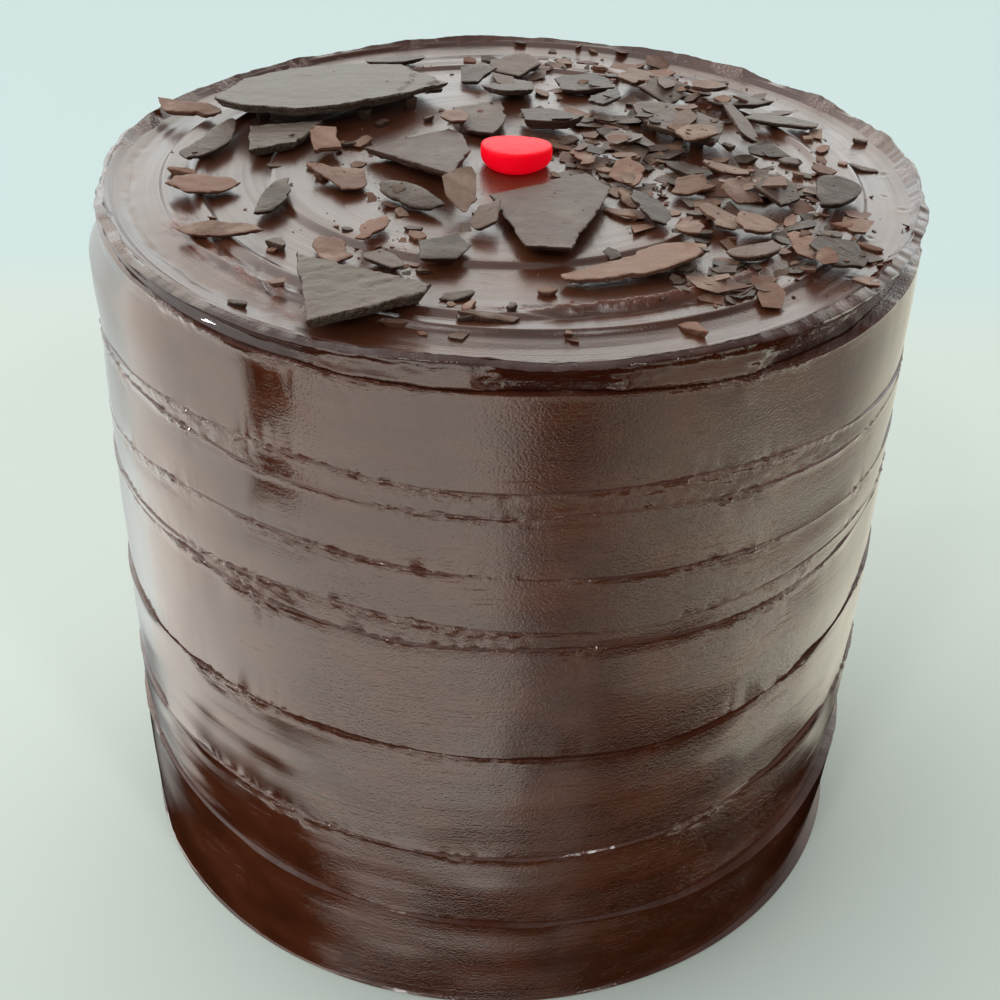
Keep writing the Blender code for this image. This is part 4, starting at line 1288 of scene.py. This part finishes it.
floorLook = {                                      # half its width in metres, the rest in mm
    "reach": 90.0, "near": rgb(0.600, 0.66, 0.610), "far": rgb(0.545, 0.66, 0.66), "farFrom": (205, 285),
    "cloudTone": rgb(0.62, 0.64, 0.60), "cloudSize": 60.0, "cloudy": 0.12, "rough": 0.8,
}


def buildFloor():
    reach = floorLook["reach"]
    mesh = makeMesh("floor", [(-reach, -reach, 0), (reach, -reach, 0), (reach, reach, 0), (-reach, reach, 0)],
                    [(0, 1, 2, 3)], smooth=False)
    material, sheet = newMaterial("pale_floor")
    place = sheet.place()
    cloud = sheet.grain(place, floorLook["cloudSize"], 3.0, 0.6)
    farther = sheet.split(place)[1].step(*floorLook["farFrom"])
    tone = sheet.blend(farther, floorLook["near"], floorLook["far"])
    tone = sheet.blend(cloud * floorLook["cloudy"], tone, floorLook["cloudTone"])
    sheet.surface(Base_Color=tone, Roughness=floorLook["rough"])
    floor = newPiece("floor", mesh, material)
    floor.visible_glossy = False                   # gloss sees the studio's glows instead


# The gloss reflects glows that are painted by direction. Azimuth 0 is in front and positive to the
# right, elevation is upwards, in degrees. A pair of pairs is where a glow rises and where it falls.

sky = {
    "level": 0.94, "higher": ((5, 60), 0.10), "over": (-3, -1), "top": (60, 88),
    "front": ((-75, -35), (60, 115)), "frontTop": (55, 85), "frontDim": 0.42,
    "left": ((-165, -120), (-70, -20)), "leftMore": 0.75,
    "right": ((20, 60), (130, 165)), "rightDim": 0.35,
    "back": (95, 140), "backMiddle": 24, "backFade": (9, 27), "backMore": 1.55,
    "tint": rgb(0.94, 1.0, 1.0), "warmTint": rgb(1.04, 0.995, 0.90), "warm": ((22, 27), (34, 44)),
}
glow = {
    "left": ((-160, -105), (-1, 15)), "leftPower": 2.5, "leftFoot": (-45.0, -41.0),
    "middle": (-72, -42), "middleFoot": (-9.2, -4.2), "leftHigh": ((-22, -8), 0.5),
    "leftEdge": ((-110, -75), 0.28), "farLeft": ((-138, -122), (-33.5, -27.5), 0.5),
    "leftFootMore": ((-100, -80), (-34, -31), 0.22),
    "right": ((20, 46), (110, 160)), "rightFoot": -41.0, "rightFootDrop": ((60, 105), 0.8), "rightSoft": 0.8,
    "rightPower": 1.60, "rightHigh": ((-39, -29), 0.80), "rightEdge": ((80, 120), 0.45),
    "rightFootMore": ((50, 85), (-37, -31), 0.6),
    "frontAt": (17, -43.5), "frontHalf": (15, 5), "frontSoft": 7, "frontPower": 1.15,
    "backFoot": (-40.5, -37), "backPower": 0.75,
    "windowAt": (-64, -28.3), "windowHalf": (8.4, 5.2), "windowSoft": 0.5, "windowStray": (30, 9),
    "farLeftTint": rgb(0.90, 0.98, 0.95), "leftTint": rgb(1.0, 0.965, 0.87), "leftTintFrom": (-142, -112),
    "rightTint": rgb(1.0, 0.985, 0.81), "rightTintFrom": (0, 60),
}


def patch(azimuth, elevation, at, half, soft):     # 1 inside a rectangle of directions
    away = (azimuth - at[0]).absolute().step(half[0] - soft, half[0] + soft)
    over = (elevation - at[1]).absolute().step(half[1] - soft, half[1] + soft)
    return (1 - away) * (1 - over)


def skyLight(azimuth, elevation, behind):
    below = 1 - elevation.step(*sky["top"])
    frontDim = azimuth.window(*sky["front"]) * (1 - elevation.step(*sky["frontTop"]))
    span, less = sky["higher"]
    light = sky["level"] - elevation.step(*span) * less - frontDim * sky["frontDim"]
    light = light + azimuth.window(*sky["left"]) * below * sky["leftMore"]
    light = light - azimuth.window(*sky["right"]) * below * sky["rightDim"]
    aside = (elevation - sky["backMiddle"]).absolute().step(*sky["backFade"])
    return light + behind * (1 - aside) * sky["backMore"]


def leftLight(azimuth, elevation):
    middle = azimuth.step(*glow["middle"])
    feet = zip(glow["leftFoot"], glow["middleFoot"])
    foot = elevation.step(*(start + middle * drop for start, drop in feet))
    light = azimuth.window(*glow["left"]) * foot * glow["leftPower"]
    span, less = glow["leftHigh"]
    light = light * (1 - elevation.step(*span) * less)
    span, less = glow["leftEdge"]
    light = light * (1 - less + less * azimuth.step(*span))
    across, upwards, less = glow["farLeft"]
    light = light * (1 - (1 - azimuth.step(*across)) * elevation.step(*upwards) * less)
    across, upwards, more = glow["leftFootMore"]
    return light * (1 + (1 - azimuth.step(*across)) * (1 - elevation.step(*upwards)) * more)


def rightLight(azimuth, elevation):
    span, drop = glow["rightFootDrop"]
    foot, soft = glow["rightFoot"] - azimuth.step(*span) * drop, glow["rightSoft"]
    light = azimuth.window(*glow["right"]) * elevation.step(foot - soft, foot + soft)
    span, less = glow["rightHigh"]
    light = light * (glow["rightPower"] - less * elevation.step(*span))
    span, less = glow["rightEdge"]
    light = light * (1 - less * azimuth.step(*span))
    across, upwards, more = glow["rightFootMore"]
    return light * (1 + more * azimuth.step(*across) * (1 - elevation.step(*upwards)))


def lowLight(sheet, azimuth, elevation, behind):
    wobble, drift = (sheet.grain(sheet.join(azimuth / 5.0, elevation / 1.2, seed), 1.0, 3.0, 0.65) - 0.5
                     for seed in (0.0, 7.0))
    strayX, strayY = glow["windowStray"]
    window = patch(azimuth + wobble * strayX, elevation + drift * strayY,
                   glow["windowAt"], glow["windowHalf"], glow["windowSoft"])
    light = leftLight(azimuth, elevation) * (1 - window) + rightLight(azimuth, elevation)
    front = patch(azimuth, elevation, glow["frontAt"], glow["frontHalf"], glow["frontSoft"])
    return light + front * glow["frontPower"] + behind * elevation.step(*glow["backFoot"]) * glow["backPower"]


def buildWorld():
    world = bpy.data.worlds.new("studio")
    world.use_nodes = True
    bpy.context.scene.world = world
    sheet = Sheet(world.node_tree)
    x, y, z = sheet.split(sheet.wire("ShaderNodeTexCoord", "Generated"))
    degrees = 180 / math.pi
    azimuth = x.maths("ARCTAN2", x, y * -1) * degrees
    elevation = z.maths("ARCSINE", z) * degrees
    behind = azimuth.absolute().step(*sky["back"])
    over = elevation.step(*sky["over"])
    light = (skyLight(azimuth, elevation, behind) * over
             + lowLight(sheet, azimuth, elevation, behind) * (1 - over))
    lowTint = sheet.blend(azimuth.step(*glow["leftTintFrom"]), glow["farLeftTint"], glow["leftTint"])
    lowTint = sheet.blend(azimuth.step(*glow["rightTintFrom"]), lowTint, glow["rightTint"])
    highTint = sheet.blend(behind * elevation.window(*sky["warm"]), sky["tint"], sky["warmTint"])
    background = sheet.make("ShaderNodeBackground", None,
                            {"Color": sheet.blend(over, lowTint, highTint), "Strength": light})
    sheet.make("ShaderNodeOutputWorld", None, {"Surface": Wire(sheet, background.outputs[0])})


softBoxes = {                                      # place and size in metres, power in watts
    "left_box": ((-0.96, -0.12, 0.75), (0.04, 0.06), 0.8),
    "front_box": ((0.45, -0.75, 0.95), (0.12, 0.12), 1.5),
    "front_left_box": ((-0.35, -0.80, 1.00), (0.12, 0.12), 1.5),
}
boxAim, boxTone = (0, 0, 0.10), (1.0, 0.98, 0.95)


def buildSoftBoxes():
    for name, (place, size, power) in softBoxes.items():
        data = bpy.data.lights.new(name, "AREA")
        data.shape = "RECTANGLE"
        data.size, data.size_y = size
        data.energy, data.color = power, boxTone
        lamp = bpy.data.objects.new(name, data)
        lamp.location = place
        lamp.rotation_euler = (Vector(boxAim) - Vector(place)).to_track_quat("-Z", "Y").to_euler()
        bpy.context.scene.collection.objects.link(lamp)


buildFloor()
buildWorld()
buildSoftBoxes()
bpy.context.scene.view_settings.view_transform = "Standard"
print("studio set")
